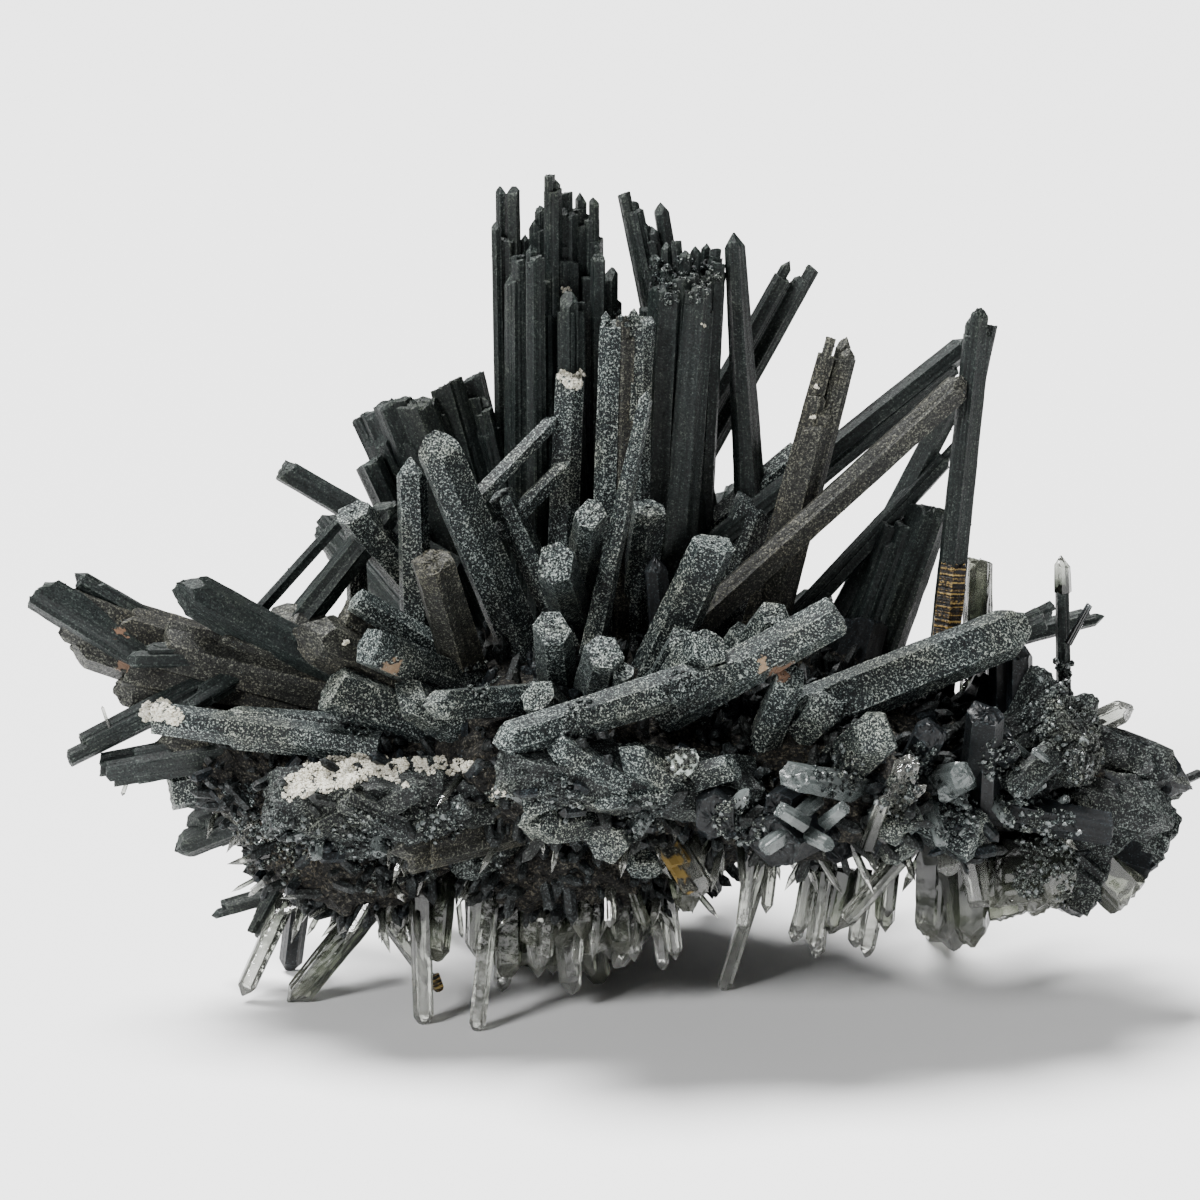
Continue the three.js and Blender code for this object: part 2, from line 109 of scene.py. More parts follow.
# Front-view crystals: tip and foot, (right, up) of the aim and (depth) behind it, and width, in millimetres
TALL_BUNDLE = [
    Crystal((-10.4, 37.9, 12), (-9.6, -6, 10), 1.3),
    Crystal((-9.9, 41.4, 14), (-9.2, -6, 12), 1.2),
    Crystal((-8.7, 41.4, 13), (-8, -6, 12), 1.4),
    Crystal((-6.5, 35.6, 7), (-6.2, -8, 5), 2.2, "chisel"),
    Crystal((-4.7, 42.6, 12), (-4.6, -8, 11), 2.1, "flat"),
    Crystal((-1.9, 40.8, 15), (-1.8, -6, 12), 1.3),
    Crystal((-0.6, 40.3, 14), (-0.6, -6, 12), 1.2),
    Crystal((-0.2, 34.8, 9), (-0.4, -6, 8), 1.6, "chisel"),
    Crystal((1, 33.3, 11), (0.8, -6, 10), 1.7),
    Crystal((-2.9, 31, 8), (-2.7, -8, 7), 3.7, "flat"),
    Crystal((-8.3, 34.5, 10), (-8.1, -8, 9), 2.6, "flat"),
    Crystal((-4.9, 35, 17), (-4.9, -6, 15), 3, "chisel"),
    Crystal((-1.2, 36.5, 18), (-1.4, -6, 15), 2.6),
    Crystal((1.3, 27.9, 4), (0.2, -7, 2), 2.9, "flat", finish="grainy", parts=1),
    Crystal((3.8, 28.3, 5), (3.1, -7, 3), 3.2, "flat", finish="grainy", parts=1),
]

LEFT_FAN = [
    Crystal((-18.6, 20.1, 9), (-9, -4, 8), 4.4, "flat", parts=1),
    Crystal((-21, 20.3, 10), (-11, -4, 9), 4.2, "flat", parts=1),
    Crystal((-22.5, 19.3, 12), (-12, -5, 11), 3.8, "flat", parts=1),
    Crystal((-23.9, 18.5, 13), (-13, -5, 11), 2.6, "flat", parts=1),
    Crystal((-23.3, 14.1, 9), (-14, -6, 8), 3.2, "flat", parts=1),
    Crystal((-15.5, 22, 11), (-8, -5, 9), 4.0, "flat", parts=1),
    Crystal((-13, 22.6, 13), (-6.5, -5, 10), 3.0, "flat", parts=1),
    Crystal((-11.6, 19.2, 10), (-6, -5, 9), 2.4, "chisel"),
]

LEFT_RODS = [
    Crystal((-32, 13.2, 6), (-14.5, 3, 5), 3, "flat", finish="ribbed", parts=1),
    Crystal((-25, 9.1, 0), (-17.5, 0.5, 6), 3.8, "flat"),
    Crystal((-24.8, 9.2, 4), (-35.8, -3, 2), 1.4, finish="ribbed", parts=1),
    Crystal((-24.6, 8.5, 6), (-24, -5.5, 5), 2.1),
    Crystal((-20.4, 9.9, 3), (-31.5, -4, 0), 3.3, "chisel", finish="ribbed", parts=1),
    Crystal((-30.4, -2.6, -10), (-13.5, -11.5, -5), 5.6, "chisel", finish="olive", parts=1),
    Crystal((-18.9, 14.4, 1), (-18, -12, 0), 3.2),
    Crystal((-16.9, 16.8, -4), (-5.8, -9.5, -2), 4.6, "chisel"),
    Crystal((-10, 10.8, 0), (-2.6, -5, 0), 3, "flat"),
    Crystal((-4.3, 18.3, 4), (-13.4, 9, -3), 1.8),
    Crystal((-3, 22.5, 5), (-4.1, -4, 4), 3.3, "flat"),
    Crystal((-3, 13.9, 2), (-11, 5.8, -1), 1.9),
    Crystal((-24.7, 0.2, -9), (-10, -8.6, -2), 2.7, "flat"),
    Crystal((-23.6, -4.4, -15), (-13, -9, -6), 4.6, "flat"),
]

CENTRE_ENDS = [
    Crystal((-0.9, 8.8, -8), (-2.5, -1, 6), 3.3, "flat"),
    Crystal((-4.5, 3.9, -11), (-2, -4, 6), 4.3, "flat"),
    Crystal((-4.8, -2.5, -15), (-3.8, -12.5, -5), 4, "flat"),
    Crystal((4.8, 21, -6), (-2.4, -12.5, -5), 2.7, taper=0.5),
    Crystal((5, 9.5, -2), (3.2, -4, 6), 3.6, "flat"),
    Crystal((-16.8, 4.2, -13), (-12.6, -10, -4), 4.5, "flat", finish="olive", parts=1),
    Crystal((0.5, -5, -19), (-1.5, -12.5, -5), 4.2, "flat"),
    Crystal((2.4, -7, -19), (1.8, -13, -8), 2.2, "flat"),
    Crystal((5.5, 4.4, -4), (6.8, -12, -3), 2.8, "chisel", finish="glassy"),
]

BACK_SPIRES = [
    Crystal((2.8, 40.9, 14), (12.2, -4, 10), 2.4, "chisel"),
    Crystal((4.4, 38.3, 14), (12, -4, 11), 2.6, "flat"),
    Crystal((6, 39.8, 15), (12.8, -2, 12), 1.7),
    Crystal((10.6, 35.7, 13), (7.4, 0, 9), 2.2),
    Crystal((7, 33.6, 9), (5.2, -2, 7), 4.4, "chisel"),
    Crystal((10, 31.6, 8), (7.4, -2, 5), 3.6, "flat"),
    Crystal((11.6, 34.4, 11), (9.6, -2, 8.4), 2.4, "chisel"),
    Crystal((13.4, 36.8, 12), (15.8, -3, 10), 3.6, taper=0.55, parts=1),
    Crystal((19.2, 33.8, 17), (3.6, 6, 12), 2.2, "chisel"),
    Crystal((21.1, 33.5, 18), (4.6, 4, 13), 2.4),
    Crystal((20.4, 14.2, 13), (5, 1, 9), 4.6, "flat", finish="grainy"),
    Crystal((16.2, 10, 8), (10, -6, 8), 5.6, "flat", finish="grainy"),
]

RIGHT_RODS = [
    Crystal((23.2, 26.4, 4), (13.6, -8, 3), 2.4, finish="olive"),
    Crystal((24.9, 26.2, 4), (16.2, -8, 3), 2.6, "chisel", finish="olive"),
    Crystal((22.4, 20.4, 3), (15.4, -8, 3), 3.4, "chisel", finish="olive"),
    Crystal((36.6, 22, 3), (6, -5.8, -2), 3.2, "chisel", finish="olive", parts=1),
    Crystal((37.2, 26, 9), (8.6, 3.2, 6.6), 2.8, "chisel", parts=1),
    Crystal((35.4, 24, 9), (8, 1.4, 7), 3, "flat", parts=1),
    Crystal((36.2, 21.5, 11), (21, -7.5, 8), 2.7),
    Crystal((35.6, 15.4, 10), (17.6, -4, 7), 2.3),
    Crystal((38, 29.3, 5), (33.2, -16, 2), 3),
    Crystal((39.1, 27.6, 6), (37.4, 20, 5), 1.5, "flat"),
    Crystal((33.2, 9.6, 8), (26.4, -9, 7), 4.7, "flat", parts=1),
    Crystal((43, -2.4, -6), (17, -13, -12), 5.3, "chisel", finish="grainy"),
    Crystal((45.6, -0.7, 2), (23, -12.6, -5), 2.1, "flat"),
    Crystal((50.4, -1.4, 8), (26, -7.6, 5), 2.4, "flat"),
    Crystal((46.2, 1.6, 4), (46.4, -11.5, 3), 1.6),
    Crystal((38.1, 4.2, 13), (37, -12, 6), 2.6, finish="clear"),
    Crystal((42, -4.4, -5), (42, -13, -5), 2.6, "chisel", finish="glassy"),
    Crystal((53.3, -10.6, 0), (45, -14.5, 0), 2.6, "chisel", finish="clear"),
]

RIGHT_BLOCK = [
    Crystal((59.2, -18.9, 0), (37, -9.5, 0), 6.2, "chisel"),
    Crystal((57.6, -22, -5), (37, -16, -4), 6.6, "chisel", finish="slab"),
    Crystal((55.4, -25.4, -2), (37, -19.5, -2), 6.6, "flat"),
    Crystal((50.6, -29.4, -5), (36, -18.5, -3), 6.6, "flat", finish="slab"),
    Crystal((45.4, -31.2, -9), (38, -19, -5), 5.8, "flat", finish="green"),
    Crystal((47, -10, -9), (38, -15, -5), 4.8, "flat", finish="slab"),
    Crystal((49.6, -15.8, -12), (37, -17.4, -6), 5.4, "flat", finish="slab"),
    Crystal((41.4, -14, -16), (33, -18.5, -6), 4.4, "chisel"),
    Crystal((52, -16, 12), (34, -13, 6), 5.4, "flat", finish="slab"),
]

FRONT_DIAGONALS = [
    Crystal((-10.6, -14.5, -27), (13.8, -6.8, -16), 3.8, "chisel"),
    Crystal((24.2, -1.2, -18), (6, -11.4, -14), 4.2, "flat"),
    Crystal((11.2, -4.4, -18), (4, -11, -7), 4.4, "flat"),
    Crystal((11.6, 6.1, -9), (3.8, -10.6, -6), 4.5, "flat"),
    Crystal((17.7, -1.2, -14), (10, -11.4, -6), 3.6, "flat"),
    Crystal((-17.2, -10.6, -21), (-2, -9.6, -8), 3.7, "chisel"),
    Crystal((19.2, -7.3, -17), (15.2, -17, -13), 3.6, "flat"),
    Crystal((28.8, -12.4, -22), (22, -18.6, -12), 5.2, "chisel"),
    Crystal((33.4, -12.6, -20), (30, -19, -9), 3.4, "chisel", finish="glassy"),
    Crystal((38.6, -11, -19), (37.6, -22, -9), 3.8, "flat", finish="glassy"),
]

FRONT_RIM = [
    Crystal((-34, -20.3, -15), (-11, -19.6, -12), 8, "flat", finish="slab"),
    Crystal((-29.5, -24.2, -14), (-10, -22.4, -10), 4.4, "chisel", finish="slab"),
    Crystal((-20.6, -26.1, -18), (-8, -22.6, -11), 3.8, finish="olive"),
    Crystal((-10.6, -16.4, -26), (15, -19.4, -18), 6.6, "flat", finish="slab"),
    Crystal((-7.4, -22.6, -24), (6, -20.6, -12), 5.2, "chisel"),
    Crystal((0.6, -24.6, -22), (4, -20, -9), 4.6, "flat"),
    Crystal((11.4, -21.8, -26), (13, -18, -12), 4.8, "flat", finish="glassy"),
    Crystal((17, -24.4, -25), (24, -20.4, -11), 5.8, "flat", finish="glassy"),
    Crystal((19, -17.6, -25), (29, -19.4, -14), 3.2, "flat", finish="milky"),
    Crystal((31, -22.8, -22), (25, -19.6, -9), 5.2, "chisel"),
    Crystal((38.4, -24.4, -17), (28, -18.6, -9), 5.6, "flat"),
    Crystal((36.8, -17.4, -21), (31, -18.4, -8), 3.0, "chisel", finish="milky"),
]

FAR_LEFT = [
    Crystal((-56.7, 1.2, -2), (-35, -12, -1), 4.2, "flat", parts=1),
    Crystal((-52.8, 2.3, 1), (-27, -12.6, 0), 3, "chisel"),
    Crystal((-42.5, 1.6, -4), (-26, -7.6, -3), 4.6, "chisel", parts=1),
    Crystal((-47.4, -5.6, -5), (-34, -5.4, -2), 2.7, "flat"),
    Crystal((-41.6, -10.9, -7), (-34, -6, -2), 2.7, "flat"),
    Crystal((-45.2, -11.7, -9), (-22, -14.8, -12), 3.4, "flat", finish="grainy"),
    Crystal((-53.5, -15.6, -6), (-38, -7.8, -3), 3),
    Crystal((-50.2, -17.2, -6), (-32, -14, -5), 4.4, "chisel"),
    Crystal((-42, -19.8, -2), (-32, -16, -2), 4.6, "flat"),
    Crystal((-42.6, -24.2, 2), (-30, -19, 0), 5.2, "flat"),
    Crystal((-39, -31.2, 6), (-28, -28, 5), 2.4, "flat"),
    Crystal((-34.6, -33.6, 3), (-30, -25, 2), 2.6, "flat"),
]

HANGING = [
    Crystal((-31.1, -37.3, 9), (-29.4, -24, 5), 2.6, finish="glassy"),
    Crystal((-35.8, -39.6, -1), (-30, -27, 2), 2.1),
    Crystal((-31.2, -40.7, -1), (-21, -28, 0), 3.1, finish="green"),
    Crystal((-16.2, -39.1, -6), (-24.6, -27.6, -2), 1.6),
    Crystal((-17.6, -42.9, -8), (-18.2, -25, -6), 2.2),
    Crystal((-12.4, -43.6, -10), (-10.4, -25, -7), 1.9),
    Crystal((-6.2, -37.8, -6), (-6.6, -25, -4), 2.2, finish="green"),
    Crystal((-2.7, -39.5, -4), (-4.6, -25, -3), 2.6),
    Crystal((1, -36, -4), (-1.8, -25, -4), 2.4, finish="green"),
    Crystal((0, -38.4, 1), (-2, -25, 1), 2.6, finish="green"),
    Crystal((4.7, -33, -10), (1.4, -24, -8), 1.5, finish="green"),
    Crystal((1.2, -36.7, -6), (9.4, -26.5, -1), 2.1),
    Crystal((10.3, -29.6, -16), (5.6, -21, -11), 3, "chisel"),
    Crystal((12.2, -39.3, 3), (18.4, -20, -2), 1.7),
    Crystal((19.3, -34.3, 0), (23.4, -20, -3), 1.6),
    Crystal((21.7, -35.8, 4), (24, -14, -3), 1.6),
    Crystal((23.8, -32.9, -6), (32.4, -23, -6), 2.5),
    Crystal((26.5, -35.7, 3), (30, -18.6, -1), 1.8),
    Crystal((35.9, -35, -4), (34, -22, -6), 5.4),
    Crystal((38.2, -30.8, -10), (36, -20, -8), 3.2, "flat"),
]

# Crystals of the back: tip and foot as (x, y, z) from the foot of the eye's aim
BACK_CRYSTALS = [
    Crystal((-30, 31, 43), (-13, 8, 29), 4.2),
    Crystal((-18, 34, 50), (-8, 10, 32), 3.8, "flat"),
    Crystal((-6, 33, 58), (-2, 12, 32), 3.2),
    Crystal((6, 35, 47), (2, 12, 30), 4.4, "flat"),
    Crystal((14, 33, 46), (6, 10, 30), 3.4),
    Crystal((24, 34, 34), (8, 10, 28), 4, "flat"),
    Crystal((38, 28, 30), (18, 8, 25), 3.8),
    Crystal((46, 20, 24), (28, 6, 22), 3.6, "flat"),
    Crystal((-38, 24, 34), (-20, 8, 27), 3.8, "flat"),
    Crystal((-26, 36, 26), (-10, 12, 24), 4.2, "chisel"),
    Crystal((2, 38, 32), (0, 12, 26), 4, "flat"),
    Crystal((14, 36, 23), (6, 12, 22), 3.8),
    Crystal((31, 31, 19), (14, 10, 21), 3.6, "chisel"),
    Crystal((-38, 20, 20), (-20, 8, 20), 4.6, "chisel"),
    Crystal((-17, 35, 16), (-6, 14, 20), 4.4, "flat"),
    Crystal((-4, 38, 18), (-1, 14, 20), 3.6),
    Crystal((9, 38, 15), (5, 14, 18), 4.6, "flat"),
    Crystal((44, 14, 16), (30, 4, 18), 4.4, "flat"),
]

BACK_HANGING = [
    Crystal((36, 20, -1), (33, 4, 22), 2.6),
    Crystal((-22, 26, 6), (-14, 12, 20), 2.6),
    Crystal((10, 29, 4), (6, 14, 18), 2.4),
    Crystal((22, 25, 6), (15, 12, 19), 2.2),
]

# Crystals that only the finished surface has, placed as the front-view crystals are. They fill its gaps.
FILL_RIBBED = [
    Crystal((-7.6, 36.6, 14), (-7.4, -6, 12), 2.3, "flat"),
    Crystal((-6.0, 39.4, 13), (-5.8, -6, 12), 2.4, "flat"),
    Crystal((-3.3, 40.8, 13.4), (-3.2, -6, 12), 2.4, "flat"),
    Crystal((-1.8, 39.4, 14.4), (-1.8, -6, 12), 2.6, "flat"),
    Crystal((-0.6, 38.2, 14), (-0.6, -6, 12), 2.2, "chisel"),
    Crystal((-9.4, 36.4, 13), (-8.9, -6, 12), 2.8, "flat", parts=1),
    Crystal((-5.8, 33.2, 12), (-5.6, -6, 11), 4.2, "flat"),
    Crystal((-3.5, 36.6, 13), (-3.4, -6, 12), 4.0, "flat"),
    Crystal((-0.6, 33.0, 13), (-0.8, -6, 12), 3.8, "flat"),
    Crystal((1.2, 30.6, 12), (0.9, -6, 11), 2.6, "flat"),
    Crystal((3.4, 39.0, 14.4), (11.8, -3, 10.6), 3.0, "flat"),
    Crystal((6.2, 32.8, 11), (7.0, -2, 9), 4.0, "flat"),
    Crystal((8.6, 32.8, 10), (7.0, -2, 8), 5.0, "flat"),
    Crystal((10.2, 33.0, 11), (8.5, -2, 9), 3.6, "flat"),
    Crystal((5.2, 29.4, 11), (6.0, -2, 9), 4.2, "flat"),
    Crystal((7.8, 27.0, 11), (8.4, -2, 9), 6.0, "flat"),
    Crystal((5.4, 34.6, 10), (6.0, 26, 10), 1.2, "chisel", parts=1),
    Crystal((6.6, 35.8, 11), (6.8, 27, 10), 1.1, parts=1),
    Crystal((7.6, 36.0, 11), (8.4, 26, 10), 1.4, "flat", parts=1),
    Crystal((8.6, 35.0, 10), (8.2, 27, 9), 1.3, "chisel", parts=1),
    Crystal((9.6, 35.4, 11), (9.0, 26, 10), 1.2, parts=1),
    Crystal((11.6, 35.2, 12), (10.6, 25, 10), 1.4, "flat", parts=1),
    Crystal((12.0, 33.4, 12), (10.4, 24, 10), 1.6, "chisel", parts=1),
    Crystal((-19.6, 19.2, 10.4), (-10, -4, 9), 5.2, "flat"),
    Crystal((-22.0, 17.6, 11.4), (-12, -4, 10), 4.8, "flat"),
    Crystal((-17.0, 19.6, 11), (-9, -4, 9), 5.4, "flat"),
    Crystal((-14.2, 21.4, 12), (-7.4, -4, 10), 3.8, "flat"),
    Crystal((-12.6, 20.4, 11.4), (-6.6, -4, 10), 3.6, "flat"),
    Crystal((-15.6, 16.0, 10), (-8.4, -4, 9), 5.4, "flat"),
    Crystal((30.4, 8.0, 8), (24.6, -9, 7), 4.4, "flat"),
    Crystal((44.6, -1.8, -3), (24, -10, -2), 2.6, "flat", parts=1),
]
FILL_OLIVE = [
    Crystal((2.4, 28.6, 4.2), (1.6, -7, 2.4), 3.0, "flat", parts=3),
    Crystal((-53.0, -4.4, -1), (-36, -10, -1), 4.0, "chisel", parts=1),
    Crystal((-48.6, -8.4, -2), (-36, -12, -2), 4.2, "chisel", parts=1),
    Crystal((-54.0, -1.0, -0.4), (-30, -11, 0), 6.0, "flat", parts=1),
    Crystal((-49.6, -1.8, 0), (-30, -8, 0), 5.2, "chisel", parts=1),
    Crystal((-44.6, -4.4, -2), (-26, -9, -2), 6.4, "flat", parts=1),
    Crystal((-38.4, -3.0, -2), (-24, -8, -2), 6.0, "flat", parts=1),
    Crystal((-47.6, -6.8, -2.4), (-30, -10, -2), 4.4, "flat", parts=1),
    Crystal((-33.4, -1.6, 0), (-22, -7, 0), 5.4, "chisel", parts=1),
    Crystal((-26.4, -1.6, -7), (-14, -8, -4), 5.0, "flat", parts=1),
    Crystal((-44.6, -14.4, -5), (-28, -14, -5), 4.4, "chisel", parts=1),
    Crystal((-37.4, -22.8, -4), (-24, -19, -4), 5.4, "flat", parts=1),
    Crystal((-35.6, -25.4, -3), (-22, -21, -4), 4.4, "chisel", parts=1),
]
FILL_GRAINY = [
    Crystal((0.6, 28.9, 4.0), (0.2, 18, 3.2), 1.2, "chisel"),
    Crystal((3.4, 29.2, 4.4), (3.2, 18, 3.2), 1.3),
    Crystal((5.0, 28.4, 5.0), (4.0, 16, 4.0), 1.4, "chisel"),
    Crystal((-31.8, -21.4, -17), (-24, -22.6, -15), 3.0, "chisel", finish="slab"),
    Crystal((-26.2, -19.4, -18), (-20, -22.4, -16), 3.4, "flat", finish="slab"),
    Crystal((-17.2, -18.2, -18), (-24, -22, -16), 2.6, finish="slab"),
    Crystal((-12.8, -20.2, -17), (-18, -23, -15), 3.0, "flat", finish="slab"),
    Crystal((-21.0, -24.2, -17), (-14, -21.2, -16), 2.8, "chisel", finish="slab"),
    Crystal((-32.6, -18.8, -17), (-27.6, -20.4, -16), 2.2, "flat", finish="slab"),
    Crystal((-24.0, -17.6, -17.4), (-28.6, -21.6, -16), 2.4, "chisel", finish="slab"),
    Crystal((-29.6, -23.4, -17.6), (-24.0, -20.4, -16), 2.6, "chisel", finish="slab"),
    Crystal((-15.4, -17.6, -16), (-21, -19, -15), 2.4, "flat", finish="slab"),
    Crystal((-9.2, -18.0, -26.6), (-2, -16.4, -25), 3.0, "chisel"),
    Crystal((-4.6, -14.4, -26.6), (2.4, -18.4, -24), 3.0, "flat"),
    Crystal((1.8, -15.0, -26), (8, -19.2, -22), 3.4),
    Crystal((9.8, -15.4, -24), (3.4, -19.6, -22), 2.8, "chisel"),
    Crystal((13.6, -16.6, -23), (7.4, -18.4, -21), 3.0, "flat"),
    Crystal((-1.2, -20.0, -25), (6.6, -19.2, -23), 2.6, "chisel"),
    Crystal((-7.8, -20.8, -25), (-2, -18.4, -24), 2.6, "flat"),
    Crystal((44.6, -7.2, -7), (40, -16, -6), 3.4, "flat", finish="slab"),
    Crystal((49.4, -9.4, -5), (42, -18, -4), 3.6, "chisel", finish="slab"),
    Crystal((41.0, -19.4, -17), (45.4, -15.4, -12), 3.2, "chisel", finish="slab"),
    Crystal((46.4, -22.8, -13), (41, -18, -11), 3.6, "flat", finish="slab"),
    Crystal((-43.6, -18.8, -2), (-30, -16, -2), 5.8, "flat"),
    Crystal((-38.4, -12.6, -9), (-22, -14, -7), 4.6, "chisel"),
    Crystal((-27.4, -8.6, -12), (-16, -13, -8), 5.0, "flat"),
    Crystal((-20.4, -9.0, -15), (-12, -14, -9), 4.2, "chisel"),
    Crystal((-6.4, -9.4, -17), (-2, -14, -9), 4.0, "flat"),
    Crystal((8.6, -4.0, -13), (4.4, -12, -8), 4.0, "flat"),
    Crystal((14.6, -3.4, -12), (9.0, -12, -6), 3.4, "flat"),
    Crystal((23.6, -9.8, -17), (18, -15, -11), 4.4, "chisel"),
    Crystal((47.8, -11.6, -10), (40, -18, -6), 6.0, "flat", finish="slab"),
    Crystal((43.0, -16.8, -14), (38, -19, -8), 4.6, "flat", finish="slab"),
    Crystal((49.8, -21.6, -9), (42, -22, -5), 6.4, "flat", finish="slab"),
    Crystal((-22.0, -28.2, -8), (-14, -24, -6), 3.4, "flat", finish="slab"),
    Crystal((-14.6, -27.6, -12), (-8, -23, -8), 3.6, "chisel", finish="slab"),
    Crystal((4.6, -27.4, -13), (3, -22, -8), 3.6, "flat"),
    Crystal((30.4, -25.8, -14), (26, -20, -8), 3.8, "flat"),
]
FILL_GLASSY = [
    Crystal((58.4, -19.2, 1), (40, -14, 2), 9.0, "chisel", finish="slab"),
    Crystal((56.2, -22.8, -1), (38, -18, 0), 8.6, "flat", finish="slab"),
    Crystal((52.4, -25.8, -3), (38, -18, 0), 8.8, "flat", finish="slab"),
    Crystal((47.8, -27.6, -4), (37, -18, -1), 8.0, "flat"),
    Crystal((26.0, -1.6, 6), (23, -12, 3), 6.4, "flat"),
    Crystal((51.4, -23.0, -15), (38.0, -20.4, -13), 3.4, "flat"),
    Crystal((39.0, -12.0, -16), (38.6, -20.6, -14), 2.6, "flat"),
    Crystal((40.2, -5.0, -3), (40.2, -14, -3), 2.8, "flat"),
    Crystal((45.4, -8.2, -6), (40, -15, -4), 2.2, "flat"),
    Crystal((22.0, -23.8, -21), (20, -20, -12), 3.4, "chisel"),
    Crystal((24.4, -26.0, -17), (22, -21, -10), 3.0, "chisel"),
    Crystal((17.6, -20.8, -24), (20, -19, -14), 3.2, "flat"),
    Crystal((1.4, -16.8, -23), (5, -18, -14), 2.2, "flat"),
]
FILL_GOLDEN = [
    Crystal((35.3, 3.9, 3.3), (34.4, -5.0, 2.7), 3.3, "flat"),
    Crystal((9.6, -29.0, -16.6), (6.0, -23.0, -12), 2.8, "chisel", finish="olive"),
    Crystal((-16.2, -39.3, -6), (-16.9, -37.6, -5.7), 1.75),
]
FILL_SMOKY = [
    Crystal((37.9, 4.3, 12), (37.6, -8, 8), 3.0, "flat", finish="green"),
    Crystal((46.2, 4.5, 4), (46.3, 0.8, 4), 1.7, finish="clear"),
    Crystal((49.0, -0.4, 3), (46.8, -4.4, 2), 0.8, "flat"),
    Crystal((58.8, -19.0, -1), (46, -14, 0), 7.0, "chisel", finish="slab"),
    Crystal((57.2, -24.4, -2), (46, -17, 0), 7.0, "flat", finish="slab"),
    Crystal((53.4, -29.4, -3), (44, -20, -2), 6.6, "flat", finish="green"),
    Crystal((48.6, -31.4, -5), (42, -21, -3), 6.2, "chisel"),
    Crystal((41.4, -32.2, -7), (40, -22, -5), 5.0, "flat", finish="green"),
    Crystal((36.6, -34.6, -5), (36, -22, -6), 5.6, "chisel", finish="green"),
]
FILL_MILKY = [
    Crystal((17.8, -20.8, -26), (20.4, -22.4, -24.6), 1.9, "flat"),
    Crystal((23.4, -24.8, -25.6), (20.8, -23.4, -24), 1.7, "chisel"),
    Crystal((16.2, -25.0, -26), (18.4, -23.4, -24.4), 1.8, "flat"),
    Crystal((24.6, -20.6, -25), (22.4, -22.4, -23.6), 1.5, "flat"),
    Crystal((-31.6, -24.0, -17), (-27.6, -22.6, -15), 1.0),
    Crystal((-28.4, -26.0, -17), (-28.0, -22.6, -15), 1.3, "flat"),
    Crystal((-10.0, -18.4, -26.8), (-7.6, -20.0, -25), 1.2, "flat"),
    Crystal((3.6, -23.4, -24), (5.4, -20.6, -22), 1.4, "flat"),
    Crystal((14.8, -19.0, -25), (12.8, -21.6, -23), 1.6),
    Crystal((18.8, -22.4, -25), (21.8, -20.0, -22), 1.5, "chisel"),
    Crystal((34.2, -24.6, -20), (33.0, -20.4, -17), 1.4, "flat"),
    Crystal((41.2, -22.6, -17), (39.0, -19.4, -14), 1.5),
    Crystal((43.4, -15.0, -15), (45.8, -17.0, -13), 0.9, "flat"),
    Crystal((46.8, -19.8, -14), (44.6, -21.2, -12), 1.0, "flat"),
    Crystal((27.6, -21.8, -21), (29.6, -18.4, -14), 1.8, "flat"),
    Crystal((29.4, -18.6, -20), (26.8, -22.0, -15), 1.3),
    Crystal((33.8, -19.6, -19), (38.0, -17.4, -13), 2.2, "chisel"),
    Crystal((36.4, -20.6, -18), (34.4, -17.8, -13), 1.8),
    Crystal((39.4, -10.8, -15), (40.8, -15.6, -13), 0.8, "flat"),
    Crystal((39.0, -12.4, -15.4), (43.4, -16.2, -13), 0.8, "flat"),
    Crystal((44.6, -18.2, -15), (42.6, -19.6, -12), 1.0),
    Crystal((-22.2, -25.6, -17), (-21.6, -21, -13), 1.8, "flat"),
    Crystal((-30.2, -22.4, -17), (-26, -17, -12), 1.2, "flat"),
]
FILL_GREEN = [
    Crystal((-16.4, -36.2, -7), (-15.6, -26, -5), 3.0, "chisel"),
    Crystal((-12.2, -36.0, -5), (-12.0, -26, -4), 2.8),
    Crystal((-9.2, -37.8, -7), (-9.4, -26, -5), 3.0, "chisel"),
    Crystal((-6.6, -34.6, -8), (-6.0, -25, -6), 3.2, "flat"),
    Crystal((-1.6, -34.0, -9), (-2.0, -25, -7), 3.0),
    Crystal((2.2, -35.4, -7), (1.6, -26, -5), 2.8, "chisel"),
    Crystal((-21.6, -32.4, -6), (-20.6, -25, -5), 2.6),
    Crystal((-25.6, -31.6, -5), (-23.6, -24, -4), 2.8, "chisel"),
    Crystal((-16.0, -33.0, -5), (-17, -27, -4), 2.2),
    Crystal((-13.0, -30.6, -5), (-13.2, -25, -4), 3.0, "chisel"),
    Crystal((-10.4, -32.6, -4), (-11, -26, -3), 2.4),
    Crystal((-7.8, -36.6, -3), (-8.2, -26, -3), 2.6),
    Crystal((-4.8, -37.4, -2), (-5.2, -26, -2), 2.4),
    Crystal((-3.8, -34.8, -7), (-4.2, -26, -5), 3.2, "chisel"),
    Crystal((-1.2, -37.6, -1), (-2.4, -26, -1), 3.0),
    Crystal((-0.8, -35.4, -6), (-1.0, -25, -4), 3.4, "flat"),
    Crystal((3.2, -33.2, -4), (2.2, -25, -3), 2.4),
    Crystal((5.4, -32.6, -5), (4.6, -25, -4), 2.4, "chisel"),
    Crystal((9.0, -31.2, -9), (7.5, -24, -6), 3.2, "chisel"),
    Crystal((23.2, -33.4, -2), (24.6, -27, -2), 2.6, "chisel"),
    Crystal((28.4, -33.2, -2), (28.8, -26, -2), 2.2),
    Crystal((33.0, -33.8, -6), (33.4, -24, -6), 3.6, "chisel"),
    Crystal((41.6, -31.0, -12), (42, -24, -10), 5.6, "flat"),
    Crystal((46.0, -30.2, -12), (44, -24, -10), 5.4, "chisel"),
]
